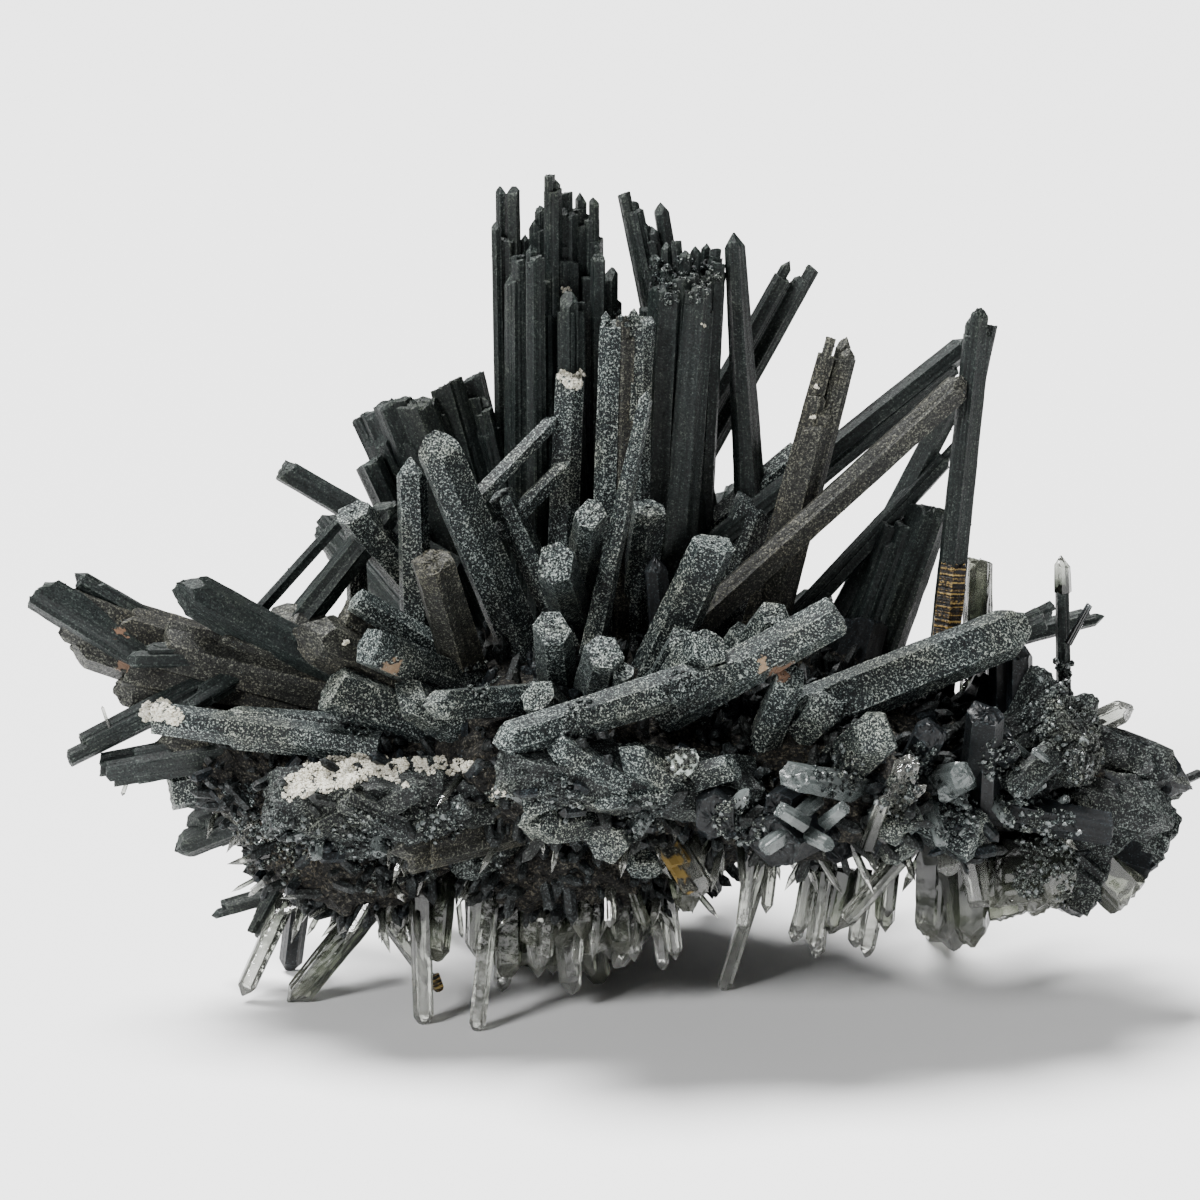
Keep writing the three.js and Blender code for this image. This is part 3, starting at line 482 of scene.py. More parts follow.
FILL_CLEAR = [
    Crystal((30.8, -16.0, -21), (28.6, -23.6, -18), 2.6, "flat"),
    Crystal((28.6, -19.4, -23), (26.8, -24.6, -20), 1.6),
    Crystal((32.6, -18.4, -22), (28.4, -22.2, -20), 1.1),
    Crystal((-20.2, -33.6, -5), (-19, -26, -4), 2.0),
    Crystal((-9.8, -39.2, -6), (-9.5, -27, -5), 2.0),
    Crystal((-5.6, -36.6, -9), (-5.0, -26, -7), 1.8),
    Crystal((3.4, -36.2, -7), (2.6, -26, -5), 1.6),
    Crystal((14.2, -33.4, -8), (15.2, -25, -8), 1.5),
    Crystal((16.6, -31.4, -10), (17.4, -24, -8), 1.4),
    Crystal((-13.8, -33.8, -6), (-14.5, -27, -5), 0.7),
    Crystal((-20.2, -34.6, -2), (-19.6, -28, -2), 0.6),
    Crystal((-21.4, -33.4, -4), (-20.4, -27, -3), 0.7),
    Crystal((-18.6, -33.0, -3), (-18.4, -27, -3), 0.5),
    Crystal((-9.0, -35.2, -5), (-9.4, -26, -4), 1.6),
    Crystal((1.0, -32.8, -12), (1.0, -26, -9), 1.3),
    Crystal((2.8, -34.4, -3), (2.2, -26, -3), 1.2),
    Crystal((6.3, -37.0, -4), (5.2, -25, -2), 1.4),
    Crystal((7.6, -36.0, -4), (6.4, -26, -3), 1.6),
    Crystal((-2.4, -36.8, -8), (-1.6, -27, -5), 1.2),
    Crystal((19.8, -33.6, -4), (21.0, -27, -4), 1.6),
    Crystal((21.2, -35.2, -3), (22.6, -27, -3), 1.9),
    Crystal((25.4, -34.8, -2), (26.4, -27, -2), 1.8),
    Crystal((28.8, -31.8, -4), (29.4, -26, -4), 1.4),
    Crystal((34.8, -27.2, -16), (35.4, -22, -12), 2.4, "flat"),
    Crystal((-47.8, -19.6, -3), (-46.4, -15.6, -3), 0.5),
    Crystal((-49.8, -10.6, -6), (-48.8, -13.6, -6), 0.35),
]

# Lumps of the matrix: middle and half sizes from the foot of the eye's aim, in millimetres
LUMPS = [
    ((0, -1, 28), (23, 20, 10.5)),
    ((20, -3, 26), (20, 18, 9)),
    ((-20, -1, 25), (17, 14, 9)),
    ((38, 0, 23), (15, 12, 8)),
    ((-24, 0, 17), (13, 11, 7.5)),
    ((0, 9, 34), (16, 9, 8)),
    ((18, 5, 31), (13, 9, 6.5)),
    ((4, 15, 22), (24, 13, 8)),
    ((0, 16, 13), (17, 12, 8)),
    ((-33, -2, 25), (9, 8, 6)),
    ((-3, -2, 17), (14, 11, 6.5)),
    ((-4, 17, 5), (7, 10, 14)),
]
LUMP_SHARE = 0.9  # of the solid lump's half size, so that the rough skin stays within it
LUMP_WAVES = ((1.3, 5), (0.8, 1.4), (0.4, 0.6))  # height and length of its skin's waves, in millimetres

# Thin crusts: seen (right, up) of a middle, and how far round it the crust lies. Calcite:
CALCITE = [
    (-30.6, -18.4, 1.0), (-28.6, -17.6, 1.5), (-26.4, -17.2, 1.7), (-24.2, -16.8, 1.5), (-22.0, -16.6, 1.1),
    (-20.0, -16.5, 0.8), (-18.0, -16.4, 0.8), (-16.0, -16.3, 0.7), (-14.2, -16.5, 0.7), (-13.0, -16.9, 0.8),
    (-21.0, -17.4, 0.7), (-17.0, -17.0, 0.5), (-15.0, -17.2, 0.4), (-25.4, -18.0, 0.9), (-12.2, -16.6, 0.5),
    (-31.0, -19.4, 0.7), (-29.4, -19.0, 0.8), (-27.4, -18.6, 0.8), (-20.4, -18.0, 0.4), (-19.4, -18.6, 0.3),
    (-3.7, 22.4, 0.6), (-3.0, 21.9, 0.7), (-2.3, 21.7, 0.6), (-2.0, 22.6, 0.4),
    (-45.0, -11.2, 1.0), (-43.8, -11.0, 1.1), (-42.6, -11.6, 0.9),
    (-3.7, 31.0, 0.25), (10.3, 27.5, 0.2), (21.7, 21.2, 0.2), (21.3, 18.2, 0.25), (-3.0, 31.1, 0.2),
    (-10.4, -19.0, 0.35), (-9.6, -19.4, 0.3), (-9.2, -20.2, 0.3), (-10.8, -19.8, 0.3), (-25.4, -4.2, 0.3),
]
# Crumbs of druse and of broken glassy quartz, on the right block and the rim
RIM_CRUMBS = [
    (46, -8, 2), (44, -12, 2), (40, -16, 2.2), (48, -17, 2), (42, -21, 2.4), (36, -22, 2.6),
    (30, -20, 2.5), (46, -23, 2), (24, -17, 2.6), (14, -22, 2.6), (4, -22, 2.4),
    (-4, -20, 2.4), (-24, -24, 3), (-16, -22, 2.4), (-30, -24, 2.4), (-34, -24, 2.6), (-36, -20, 2),
]
# Crumbs of druse on the spires and in the middle
MIDDLE_CRUMBS = [
    (6, 32.6, 1.6), (8.4, 33, 1.4), (10.6, 32.6, 1.4), (7, 30.6, 1.2), (9.6, 30.6, 1.2), (2.6, 28.4, 1.2),
    (-2, -12, 2), (8, -9, 2), (12, -12, 2), (24, -12, 2), (32, -16, 2), (-12, -8, 2), (-24, -12, 2),
]
# Paler porous druse, under the left slab and on the right block
PALE_CRUMBS = [
    (-34.6, -26.4, 1.2), (-31.0, -27.6, 1.0), (-22.6, -28.2, 1.2), (-17.0, -27.4, 1.0), (-10.6, -26.4, 1.2),
    (46.4, -10.4, 1.6), (48.4, -12.6, 1.8), (49, -15.4, 1.6), (47.2, -17.6, 1.4), (45.6, -13.4, 1.6),
    (43.6, -24, 2), (46, -26, 2), (43, -28, 1.8), (47, -29.4, 1.4), (8, -16.2, 1.6), (-10, -19.6, 1.4),
]
# How a crust's grains differ: shares of a grain's size
GRAIN_CORNERS = (0.6, 1.1)
GRAIN_SIZES = (0.4, 1.0)
GRAIN_RISES = (-0.1, 0.35)
FEWEST_GRAINS = 3

HEART = np.array([0.0, 0.0, 22.0]) - MIDDLE  # where the crystals fan out from

FORWARD = np.array([0.0, math.cos(EYE_RISE), -math.sin(EYE_RISE)])
UPWARD = np.array([0.0, math.sin(EYE_RISE), math.cos(EYE_RISE)])
EYE = EYE_AIM - EYE_DISTANCE * FORWARD


def sight(right, up):
    """The way the eye looks to see what is (right, up) of its aim"""
    ray = FORWARD + UPWARD * up / EYE_DISTANCE
    ray[0] += right / EYE_DISTANCE
    return ray


def seen(place):
    """The point that the front view shows (right, up) of its aim, (depth) behind it, in millimetres"""
    right, up, depth = place
    ray = sight(right, up)
    return EYE + ray * (depth - EYE[1]) / ray[1] - MIDDLE


def placed(place):
    """The point (x, y, z) from the foot of the eye's aim, in millimetres"""
    return np.array(place, float) - MIDDLE


def unit(vector):
    """The same way, one unit long"""
    return vector / np.linalg.norm(vector)


# Section of a prism of radius 1: points round it, with the six edges kept
edges = np.stack([np.cos(EDGE_ANGLES), np.sin(EDGE_ANGLES)], 1)
next_edges = np.roll(edges, -1, 0)
shares = np.arange(SIDE_POINTS)[None, :, None] / SIDE_POINTS
SECTION = (edges[:, None] * (1 - shares) + next_edges[:, None] * shares).reshape(-1, 2)
ROUND = len(SECTION)
FACE_MIDDLES = (edges + next_edges) / 2
FACE_REACH = np.linalg.norm(FACE_MIDDLES, axis=1)
FACE_NORMALS = FACE_MIDDLES / FACE_REACH[:, None]
EDGE_POINTS = np.arange(0, ROUND, SIDE_POINTS)
SIDE_WIDTHS = np.linalg.norm(next_edges - edges, axis=1)
SIDE_GAPS = np.minimum(np.arange(SIDE_POINTS), SIDE_POINTS - np.arange(SIDE_POINTS)) / SIDE_POINTS


def end_height(spots, end, length, uneven, rng):
    """How high a crystal's end stands over its shoulder, for spots across a section of radius 1"""
    if end == "flat":
        lean = BREAK_SLOPE * (spots[:, 0] - 1)
        rim = np.max(spots @ FACE_NORMALS.T / FACE_REACH, axis=1)
        bevel = -BEVEL_SLOPE * np.maximum(0, rim - BEVEL_START)
        chip = CHIP_RISE + spots @ unit(rng.normal(size=2)) * rng.uniform(*CHIP_SLOPES)
        notch = NOTCH_RISE + NOTCH_SLOPE * (spots @ unit(rng.normal(size=2)) + rng.uniform(*NOTCH_SHIFTS))
        cuts = [lean, chip] if uneven < NOTCHED_FROM else [lean, chip, notch]
        grit = rng.normal(0, BREAK_GRIT + UNEVEN_GRIT * uneven, len(spots))
        return np.min(cuts, axis=0) + bevel + grit
    if end == "chisel":
        slopes = [(way * spots[:, 0] - start) / run for way, start, run in CHISEL_SLOPES]
        slopes += [np.abs(spots[:, 1]) / FACE_REACH[1], np.zeros(len(spots))]
        return length * (1 - np.max(slopes, axis=0)) + rng.normal(0, CHISEL_GRIT * uneven, len(spots))
    tilts = rng.uniform(-1, 1, 6) * uneven
    slopes = (spots @ FACE_NORMALS.T - tilts * POINT_TILT) / FACE_REACH
    return length * (1 - np.max(slopes, axis=1))


# A closed shell: its corners in millimetres, its faces, their growth map, and the marks of its corners
Shell = namedtuple("Shell", "points faces map marks")


def prism(top, base, side, wide, end, taper, look, rng):
    """A six-sided prism with growth steps along it and an end of its own shape"""
    along = unit(top - base)
    over = np.cross(along, side)
    radius = CORNER * wide
    slim = radius * taper
    reach = np.linalg.norm(top - base)
    rings = max(3, int(reach / RING_STEP))

    spots = np.concatenate([SECTION * q for q in CAP_RINGS] + [np.zeros((1, 2))])
    heights = end_height(spots, end, wide * taper * END_LENGTHS[end] / slim, look.uneven, rng) * slim
    heights += reach - heights.max()

    ribs = 1 + look.ribs * rng.uniform(*SIDE_RIBS, ROUND)
    ribs[EDGE_POINTS] = 1 + EDGE_RIB_SHARE * look.ribs * rng.uniform(*EDGE_RIBS, 6)
    shares = np.linspace(0, 1, rings, endpoint=False)
    steps = np.cumsum(rng.choice(GROWTH_STEPS, rings)) * look.steps
    swell = (1 + (taper - 1) * shares) * (1 + steps - steps[-1] * shares)
    layers, levels = [], []
    for share, size in zip(shares, swell):
        wobble = 1 + look.rough * rng.uniform(-1, 1, ROUND)
        layers.append(SECTION * (radius * size * ribs * wobble)[:, None])
        levels.append(share * heights[:ROUND])
    cap = spots * slim
    for i, q in enumerate(CAP_RINGS):
        layers.append(cap[i * ROUND:(i + 1) * ROUND] * (1 + (ribs - 1) * q)[:, None])
        levels.append(heights[i * ROUND:(i + 1) * ROUND])
    flat = np.concatenate(layers + [cap[-1:]])
    level = np.concatenate(levels + [heights[-1:]])
    points = base + flat[:, :1] * side + flat[:, 1:] * over + level[:, None] * along
    points = np.concatenate([points, base[None] - along * FOOT_LENGTH * radius])
    points[:, 2] = np.maximum(points[:, 2], LOWEST_CRYSTAL)

    rows = len(layers)
    grid = np.arange(rows * ROUND).reshape(rows, ROUND)
    after = np.roll(grid, -1, 1)
    quads = np.stack([grid[:-1], after[:-1], after[1:], grid[1:]], -1).reshape(-1, 4)
    top_point, low_point = rows * ROUND, rows * ROUND + 1
    tips = [[grid[-1, k], after[-1, k], top_point] for k in range(ROUND)]
    feet = [[after[0, k], grid[0, k], low_point] for k in range(ROUND)]

    # The map runs round the prism and along it, in metres, and starts at a place of its own
    girth = 2 * math.pi * radius / ROUND
    start = rng.uniform(*MAP_STARTS)
    k = np.tile(np.arange(ROUND), rows - 1)
    corners = [(k, grid[:-1]), (k + 1, after[:-1]), (k + 1, after[1:]), (k, grid[1:])]
    quad_map = np.stack([np.stack([u * girth + start, level[v.ravel()]], 1) for u, v in corners], 1)
    end_map = np.tile([start, 0.0], (6 * ROUND, 1)) + rng.uniform(*END_MAP_SPREAD, (6 * ROUND, 2))
    growth_map = np.concatenate([quad_map.reshape(-1, 2), end_map]) * MM

    gap = np.tile((SIDE_WIDTHS[:, None] * SIDE_GAPS).ravel() * radius, rings)
    gap = np.concatenate([gap] + [np.full(ROUND, (1 - q) * slim) for q in CAP_RINGS] + [[slim, radius]])
    marks = {
        "grains": np.full(len(points), look.grains),
        "edge_gap": gap * MM,
        "end_face": np.concatenate([np.zeros(rings * ROUND + ROUND), np.ones(len(spots) - ROUND), [0]]),
        "rise": np.append(level / level.max(), 0),
    }
    return Shell(points, quads.tolist() + tips + feet, growth_map, marks)


# How each finish grows: its ribs, growth steps and roughness as shares of the radius, share of grains,
# unevenness of its ends, and how many parallel prisms make a crystal
Look = namedtuple("Look", "ribs steps rough grains uneven parts")
LOOKS = {
    "grainy": Look(0.02, 0.008, 0.008, 1.0, 0.3, 1),
    "slab": Look(0.12, 0.030, 0.07, 1.0, 0.8, 1),
    "ribbed": Look(0.09, 0.014, 0.012, 0.25, 0.7, 3),
    "olive": Look(0.05, 0.012, 0.015, 0.7, 0.6, 2),
    "glassy": Look(0.02, 0.012, 0.006, 0.12, 0.5, 1),
    "milky": Look(0.05, 0.020, 0.020, 0.0, 0.8, 1),
    "golden": Look(0.05, 0.020, 0.020, 0.0, 0.8, 1),
    "green": Look(0.06, 0.020, 0.020, 0.0, 0.6, 1),
    "smoky": Look(0.05, 0.020, 0.020, 0.0, 0.7, 1),
    "clear": Look(0.04, 0.016, 0.008, 0.0, 0.5, 1),
}


def crystal(row, turn, place, rng):
    """The shells of a row's crystal. A ribbed one is a bundle of prisms that end at different heights."""
    top, base = place(row.tip), place(row.foot)
    along = unit(top - base)
    side = np.cross([0.0, 0.0, 1.0], along)
    if np.linalg.norm(side) < UPRIGHT:
        side = np.cross([1.0, 0.0, 0.0], along)
    side = unit(side)
    side = side * math.cos(turn) + np.cross(along, side) * math.sin(turn)
    look = LOOKS[row.finish]
    parts = row.parts or (look.parts if row.wide > PARTED_ABOVE else 1)
    if parts == 1:
        return [prism(top, base, side, row.wide, row.end, row.taper, look, rng)]
    over = np.cross(along, side)
    lead = rng.integers(parts)
    shells = []
    for i in range(parts):
        angle = 2 * math.pi * i / parts + rng.uniform(*PART_TURNS)
        away = (math.cos(angle) * side + math.sin(angle) * over) * row.wide * rng.uniform(*PART_PLACES)
        drop = 0 if i == lead else rng.uniform(*PART_DROPS)
        end = rng.choice(list(PART_ENDS), p=list(PART_ENDS.values()))
        top_i = top + away * row.taper - along * drop
        wide = row.wide * rng.uniform(*PART_WIDTHS)
        shells.append(prism(top_i, base + away, side, wide, end, row.taper, look, rng))
    low = row.wide * rng.uniform(*CORE_DROPS) + CORE_LEAST_DROP
    core = prism(top - along * low, base, side, row.wide * CORE_WIDTH, "flat", row.taper, look, rng)
    return [*shells, core]


# What grows where: name, rows, the finish that a row has unless it names its own, and how its places are read
REGIONS = [
    ("tall_bundle", TALL_BUNDLE, "ribbed", seen),
    ("left_fan", LEFT_FAN, "ribbed", seen),
    ("left_rods", LEFT_RODS, "grainy", seen),
    ("centre_ends", CENTRE_ENDS, "grainy", seen),
    ("back_spires", BACK_SPIRES, "ribbed", seen),
    ("right_rods", RIGHT_RODS, "ribbed", seen),
    ("right_block", RIGHT_BLOCK, "glassy", seen),
    ("front_diagonals", FRONT_DIAGONALS, "grainy", seen),
    ("front_rim", FRONT_RIM, "grainy", seen),
    ("far_left", FAR_LEFT, "ribbed", seen),
    ("hanging", HANGING, "clear", seen),
    ("back", BACK_CRYSTALS, "ribbed", placed),
    ("back_hanging", BACK_HANGING, "clear", placed),
    ("filling", FILL_RIBBED, "ribbed", seen),
    ("filling", FILL_OLIVE, "olive", seen),
    ("filling", FILL_GRAINY, "grainy", seen),
    ("filling", FILL_GLASSY, "glassy", seen),
    ("filling", FILL_GOLDEN, "golden", seen),
    ("filling", FILL_SMOKY, "smoky", seen),
    ("filling", FILL_MILKY, "milky", seen),
    ("filling", FILL_GREEN, "green", seen),
    ("filling", FILL_CLEAR, "clear", seen),
]

# The shells of each piece, by region and finish. Each crystal turns on from the last, as in the solid model.
gathered = {}
index = 0
for region, rows, usual, place in REGIONS:
    if region in ("back", "filling"):
        index = 0
    for row in rows:
        row = row._replace(finish=row.finish or usual)
        rng = np.random.default_rng([len(region), len(rows), index])
        gathered.setdefault((region, row.finish), []).extend(crystal(row, index * TURN_STEP, place, rng))
        index += 1


def ball(fineness):
    """Corners and triangles of a sphere of radius 1"""
    form = bmesh.new()
    bmesh.ops.create_icosphere(form, subdivisions=fineness, radius=1)
    corners = np.array([corner.co[:] for corner in form.verts])
    triangles = [[corner.index for corner in face.verts] for face in form.faces]
    form.free()
    return corners, triangles


def lump(at, half, corners):
    """Corners of a rough lump of the matrix, in millimetres"""
    shaped = corners * np.array(half) * LUMP_SHARE + placed(at)
    spots = [Vector(point) for point in shaped]
    swell = [sum(high * noise.noise(p / long) for high, long in LUMP_WAVES) for p in spots]
    points = shaped + corners * np.array(swell)[:, None]
    points[:, 2] = np.maximum(points[:, 2], LOWEST_LUMP)
    return points


def joined(forms):
    """Several forms, each with its corners and faces, as one"""
    faces, count = [], 0
    for points, sides in forms:
        faces += [[i + count for i in side] for side in sides]
        count += len(points)
    return np.concatenate([points for points, _ in forms]), faces


globe, globe_triangles = ball(6)
lumps = [(lump(at, half, globe), globe_triangles) for at, half in LUMPS]

# The cluster's skin, on which crusts and stains are laid
skin_points, skin_faces = joined(lumps + [shell[:2] for shells in gathered.values() for shell in shells])
skin = BVHTree.FromPolygons(skin_points.tolist(), skin_faces)


def on_surface(right, up):
    """Where the eye meets the cluster, (right, up) of its aim, and which way the skin faces there"""
    place, outward, _, _ = skin.ray_cast(Vector(EYE - MIDDLE), Vector(unit(sight(right, up))))
    return (np.array(place), np.array(outward)) if place else None


def linear(code):
    """Turns an sRGB hex colour to linear red, green, blue and alpha"""
    parts = [int(code[i:i + 2], 16) / 255 for i in (1, 3, 5)]
    return (*[c / 12.92 if c <= 0.04045 else ((c + 0.055) / 1.055) ** 2.4 for c in parts], 1.0)


def add(tree, kind, inputs=(), **settings):
    """Adds a node with its settings. Its inputs, by name or in order, are values, nodes or outputs.

    Shades are the evenly spaced colours of a ramp."""
    made = tree.nodes.new(kind)
    for name, value in settings.items():
        if name == "shades":
            stops = made.color_ramp.elements
            while len(stops) < len(value):
                stops.new(0.5)
            for i, code in enumerate(value):
                stops[i].position = i / (len(value) - 1)
                stops[i].color = linear(code)
        else:
            setattr(made, name, value)
    for name, value in inputs.items() if isinstance(inputs, dict) else enumerate(inputs):
        if isinstance(value, bpy.types.Node):
            value = value.outputs[0]
        if isinstance(value, bpy.types.NodeSocket):
            tree.links.new(value, made.inputs[name])
        else:
            made.inputs[name].default_value = value
    return made


def bare_material(name):
    """A material and its empty tree"""
    made = bpy.data.materials.new(name)
    made.use_nodes = True
    made.node_tree.nodes.clear()
    return made, made.node_tree


def end_in_shader(tree, inputs):
    """Ends a material's tree in a shader with these inputs"""
    shader = add(tree, "ShaderNodeBsdfPrincipled", inputs)
    add(tree, "ShaderNodeOutputMaterial", {"Surface": shader})


QUARTZ_IOR = 1.54

# A stain's ragged edge, in shares of its reach, and how far it covers what is under it
STAIN_WAVE = 0.7
STAIN_WARP = 3.2
STAIN_START, STAIN_FULL = 2.35, 2.15
STAIN_COVER = 0.85

# Patterns of the dark quartz: sizes in millimetres, and how much each shifts the shade or the relief
CLOUD_SIZE, CLOUD_SHIFT, CLOUD_START = 3.5, 0.6, -0.05
GRAIN_SHIFT = 0.5
SPECK_SIZE, SPECK_DEPTH = 1.1, 3  # size in grains
# The painted edge highlight: how far from an edge it starts and where it is full, in millimetres, and the
# size of the noise that breaks it up
EDGE_START, EDGE_FULL, HIGHLIGHT_BREAK_SIZE = 0.2, 0.03, 1.5
GROOVE_DEPTH = 2
FILM_SIZE, FILM_START, FILM_FULL, FILM_COLOUR = 7, 0.45, 0.65, "#f6e3c4"
RELIEF = 0.12

# Veils of inclusions in the clear quartz, in millimetres
VEIL_SIZE, VEIL_RELIEF, VEIL_BUMP = 1.1, 0.3, 0.25


def stain(tree, colour, coords, right, up, reach, code):
    """Lays a ragged patch of another colour on what is seen (right, up), reach millimetres from its middle"""
    middle = Vector(on_surface(right, up)[0]) * MM
    away = add(tree, "ShaderNodeVectorMath", (coords, middle), operation="DISTANCE").outputs["Value"]
    waves = {"Vector": coords, "Scale": 1 / (STAIN_WAVE * reach * MM), "Detail": 4}
    ragged = add(tree, "ShaderNodeTexNoise", waves)
    away = add(tree, "ShaderNodeMath", (ragged, STAIN_WARP * reach * MM, away), operation="MULTIPLY_ADD")
    limits = {"From Min": STAIN_START * reach * MM, "From Max": STAIN_FULL * reach * MM}
    share = add(tree, "ShaderNodeMapRange", {"Value": away, **limits, "To Max": STAIN_COVER})
    return add(tree, "ShaderNodeMix", {0: share, 6: colour, 7: linear(code)}, data_type="RGBA").outputs[2]


def grown_quartz(name, shades, grain=0.17, pale=0.0, lines=0.0, drawn=(0.32, 9), edge_highlight=0.3, end_highlight=0.12,
                 speck_and_relief_shade=3.4, film=0.4, rough=(0.4, 0.65), shine=0.2, bump=0.3, stains=()):
    """Quartz dark with chlorite, under a skin of grains, whose width is grain. Sizes are in millimetres.

    Shades run from dark to pale, and pale shifts them. The fine specks are the grains' own colour and also
    painted light and shade on the fine relief, lighter where the bump rises and darker in its pits; one
    strength sets them.
    Lines is the strength of the growth lines, and drawn is their width round and length along the prism. The
    edge highlight is a painted highlight along a prism's edges, broken up by noise, and the end highlight is
    painted light that lightens its end faces. Film is how far iron oxide warms the colour."""
    made, tree = bare_material(name)
    coords = add(tree, "ShaderNodeTexCoord").outputs["Object"]
    grains = add(tree, "ShaderNodeTexVoronoi", {"Vector": coords, "Scale": 1 / (grain * MM)})
    shade = add(tree, "ShaderNodeSeparateColor", [grains.outputs["Color"]])
    waves = {"Vector": coords, "Scale": 1 / (CLOUD_SIZE * MM), "Detail": 5, "Roughness": 0.65}
    clouds = add(tree, "ShaderNodeTexNoise", waves)
    cloud = add(tree, "ShaderNodeMath", (clouds, CLOUD_SHIFT, pale + CLOUD_START), operation="MULTIPLY_ADD")
    tone = add(tree, "ShaderNodeMath", (shade, GRAIN_SHIFT, cloud), operation="MULTIPLY_ADD")
    waves = {"Vector": coords, "Scale": 1 / (SPECK_SIZE * grain * MM), "Detail": 2, "Roughness": 0.8}
    speckle = add(tree, "ShaderNodeTexNoise", waves)
    # The fine specks: the grains' own colour, and also painted light and shade on the fine relief, lighter
    # where the bump rises and darker in its pits
    fleck = add(tree, "ShaderNodeMath", (speckle, 0.5), operation="SUBTRACT")
    tone = add(tree, "ShaderNodeMath", (fleck, speck_and_relief_shade, tone), operation="MULTIPLY_ADD")
    relief = add(tree, "ShaderNodeMath", (fleck, SPECK_DEPTH, shade.outputs[1]), operation="MULTIPLY_ADD")
    # Painted highlight along the prism's edges, broken up by noise, as where light catches them
    if edge_highlight:
        gap = add(tree, "ShaderNodeAttribute", attribute_name="edge_gap").outputs["Fac"]
        limits = {"From Min": EDGE_START * MM, "From Max": EDGE_FULL * MM}
        edge = add(tree, "ShaderNodeMapRange", {"Value": gap, **limits})
        waves = {"Vector": coords, "Scale": 1 / (HIGHLIGHT_BREAK_SIZE * MM), "Detail": 2}
        highlight_breaks = add(tree, "ShaderNodeTexNoise", waves)
        share = add(tree, "ShaderNodeMath", (edge, highlight_breaks), operation="MULTIPLY")
        tone = add(tree, "ShaderNodeMath", (share, edge_highlight, tone), operation="MULTIPLY_ADD")
        # Painted light on the end faces: they are drawn lighter, as faces turned to the light
        face = add(tree, "ShaderNodeAttribute", attribute_name="end_face").outputs["Fac"]
        tone = add(tree, "ShaderNodeMath", (face, end_highlight, tone), operation="MULTIPLY_ADD")
    if lines:
        flow = add(tree, "ShaderNodeUVMap", uv_map="growth")
        scale = (1 / (drawn[0] * MM), 1 / (drawn[1] * MM), 1)
        laid = add(tree, "ShaderNodeMapping", {"Vector": flow, "Scale": scale})
        waves = {"Vector": laid, "Scale": 1, "Detail": 3}
        grooves = add(tree, "ShaderNodeTexNoise", waves, noise_dimensions="2D")
        groove = add(tree, "ShaderNodeMath", (grooves, 0.5), operation="SUBTRACT")
        tone = add(tree, "ShaderNodeMath", (groove, lines, tone), operation="MULTIPLY_ADD")
        relief = add(tree, "ShaderNodeMath", (groove, GROOVE_DEPTH * lines, relief), operation="MULTIPLY_ADD")
    colour = add(tree, "ShaderNodeValToRGB", [tone], shades=shades)
    drift = add(tree, "ShaderNodeTexNoise", {"Vector": coords, "Scale": 1 / (FILM_SIZE * MM), "Detail": 3})
    limits = {"From Min": FILM_START, "From Max": FILM_FULL, "To Max": film}
    share = add(tree, "ShaderNodeMapRange", {"Value": drift, **limits})
    warmth = {0: share, 6: colour, 7: linear(FILM_COLOUR)}
    colour = add(tree, "ShaderNodeMix", warmth, data_type="RGBA", blend_type="MULTIPLY").outputs[2]
    for patch in stains:
        colour = stain(tree, colour, coords, *patch)
    limits = {"To Min": rough[0], "To Max": rough[1]}
    sheen = add(tree, "ShaderNodeMapRange", {"Value": shade.outputs[2], **limits})
    bumps = add(tree, "ShaderNodeBump", {"Height": relief, "Strength": bump, "Distance": RELIEF * MM})
    end_in_shader(tree, {
        "Base Color": colour,
        "Roughness": sheen,
        "Normal": bumps,
        "IOR": QUARTZ_IOR,
        "Specular IOR Level": shine,
    })
    return made


def clear_quartz(name, shades, rough, through, veil):
    """Quartz that light passes through, with veils of inclusions. Shades run from its foot to its tip."""
    made, tree = bare_material(name)
    coords = add(tree, "ShaderNodeTexCoord").outputs["Object"]
    rise = add(tree, "ShaderNodeAttribute", attribute_name="rise").outputs["Fac"]
    veils = add(tree, "ShaderNodeTexNoise", {"Vector": coords, "Scale": 1 / (VEIL_SIZE * MM), "Detail": 3})
    drift = add(tree, "ShaderNodeMath", (veils, veil, -0.5 * veil), operation="MULTIPLY_ADD")
    tone = add(tree, "ShaderNodeMath", (rise, drift), operation="ADD")
    relief = {"Height": veils, "Strength": VEIL_BUMP, "Distance": VEIL_RELIEF * MM}
    bumps = add(tree, "ShaderNodeBump", relief)
    end_in_shader(tree, {
        "Base Color": add(tree, "ShaderNodeValToRGB", [tone], shades=shades),
        "Roughness": rough,
        "Normal": bumps,
        "IOR": QUARTZ_IOR,
        "Transmission Weight": through,
    })
    return made


def plain_grain(name, code):
    """The finish of grains too small to hold a pattern of their own"""
    made, tree = bare_material(name)
    dull = {"Roughness": 0.5, "Specular IOR Level": 0.2}
    end_in_shader(tree, {"Base Color": linear(code), "IOR": QUARTZ_IOR, **dull})
    return made


# Films of iron oxide and bare patches: seen (right, up) of the middle, reach and colour
RUST = [
    (18.0, -7.0, 1.3, "#6b5140"),
    (16.4, -6.6, 0.9, "#857058"),
    (-21.0, -7.0, 1.4, "#806a54"),
    (8.0, -16.0, 2.0, "#aab3ac"),
    (7.6, -26.8, 2.6, "#75602f"),
    (37.4, -8.4, 1.2, "#5b4f38"),
    (30.6, -10.6, 1.5, "#4c4436"),
]
LEFT_RUST = [
    (-48.0, -3.2, 0.9, "#705644"),
    (-47.4, -6.6, 1.1, "#6a5444"),
    (-44.4, -10.4, 1.1, "#857464"),
    (-44.0, -11.2, 2.0, "#96928a"),
]
CAVITY = [(-33.6, -22.6, 3.6, "#3a2a1c"), (-35.0, -23.4, 2.4, "#2c2118")]

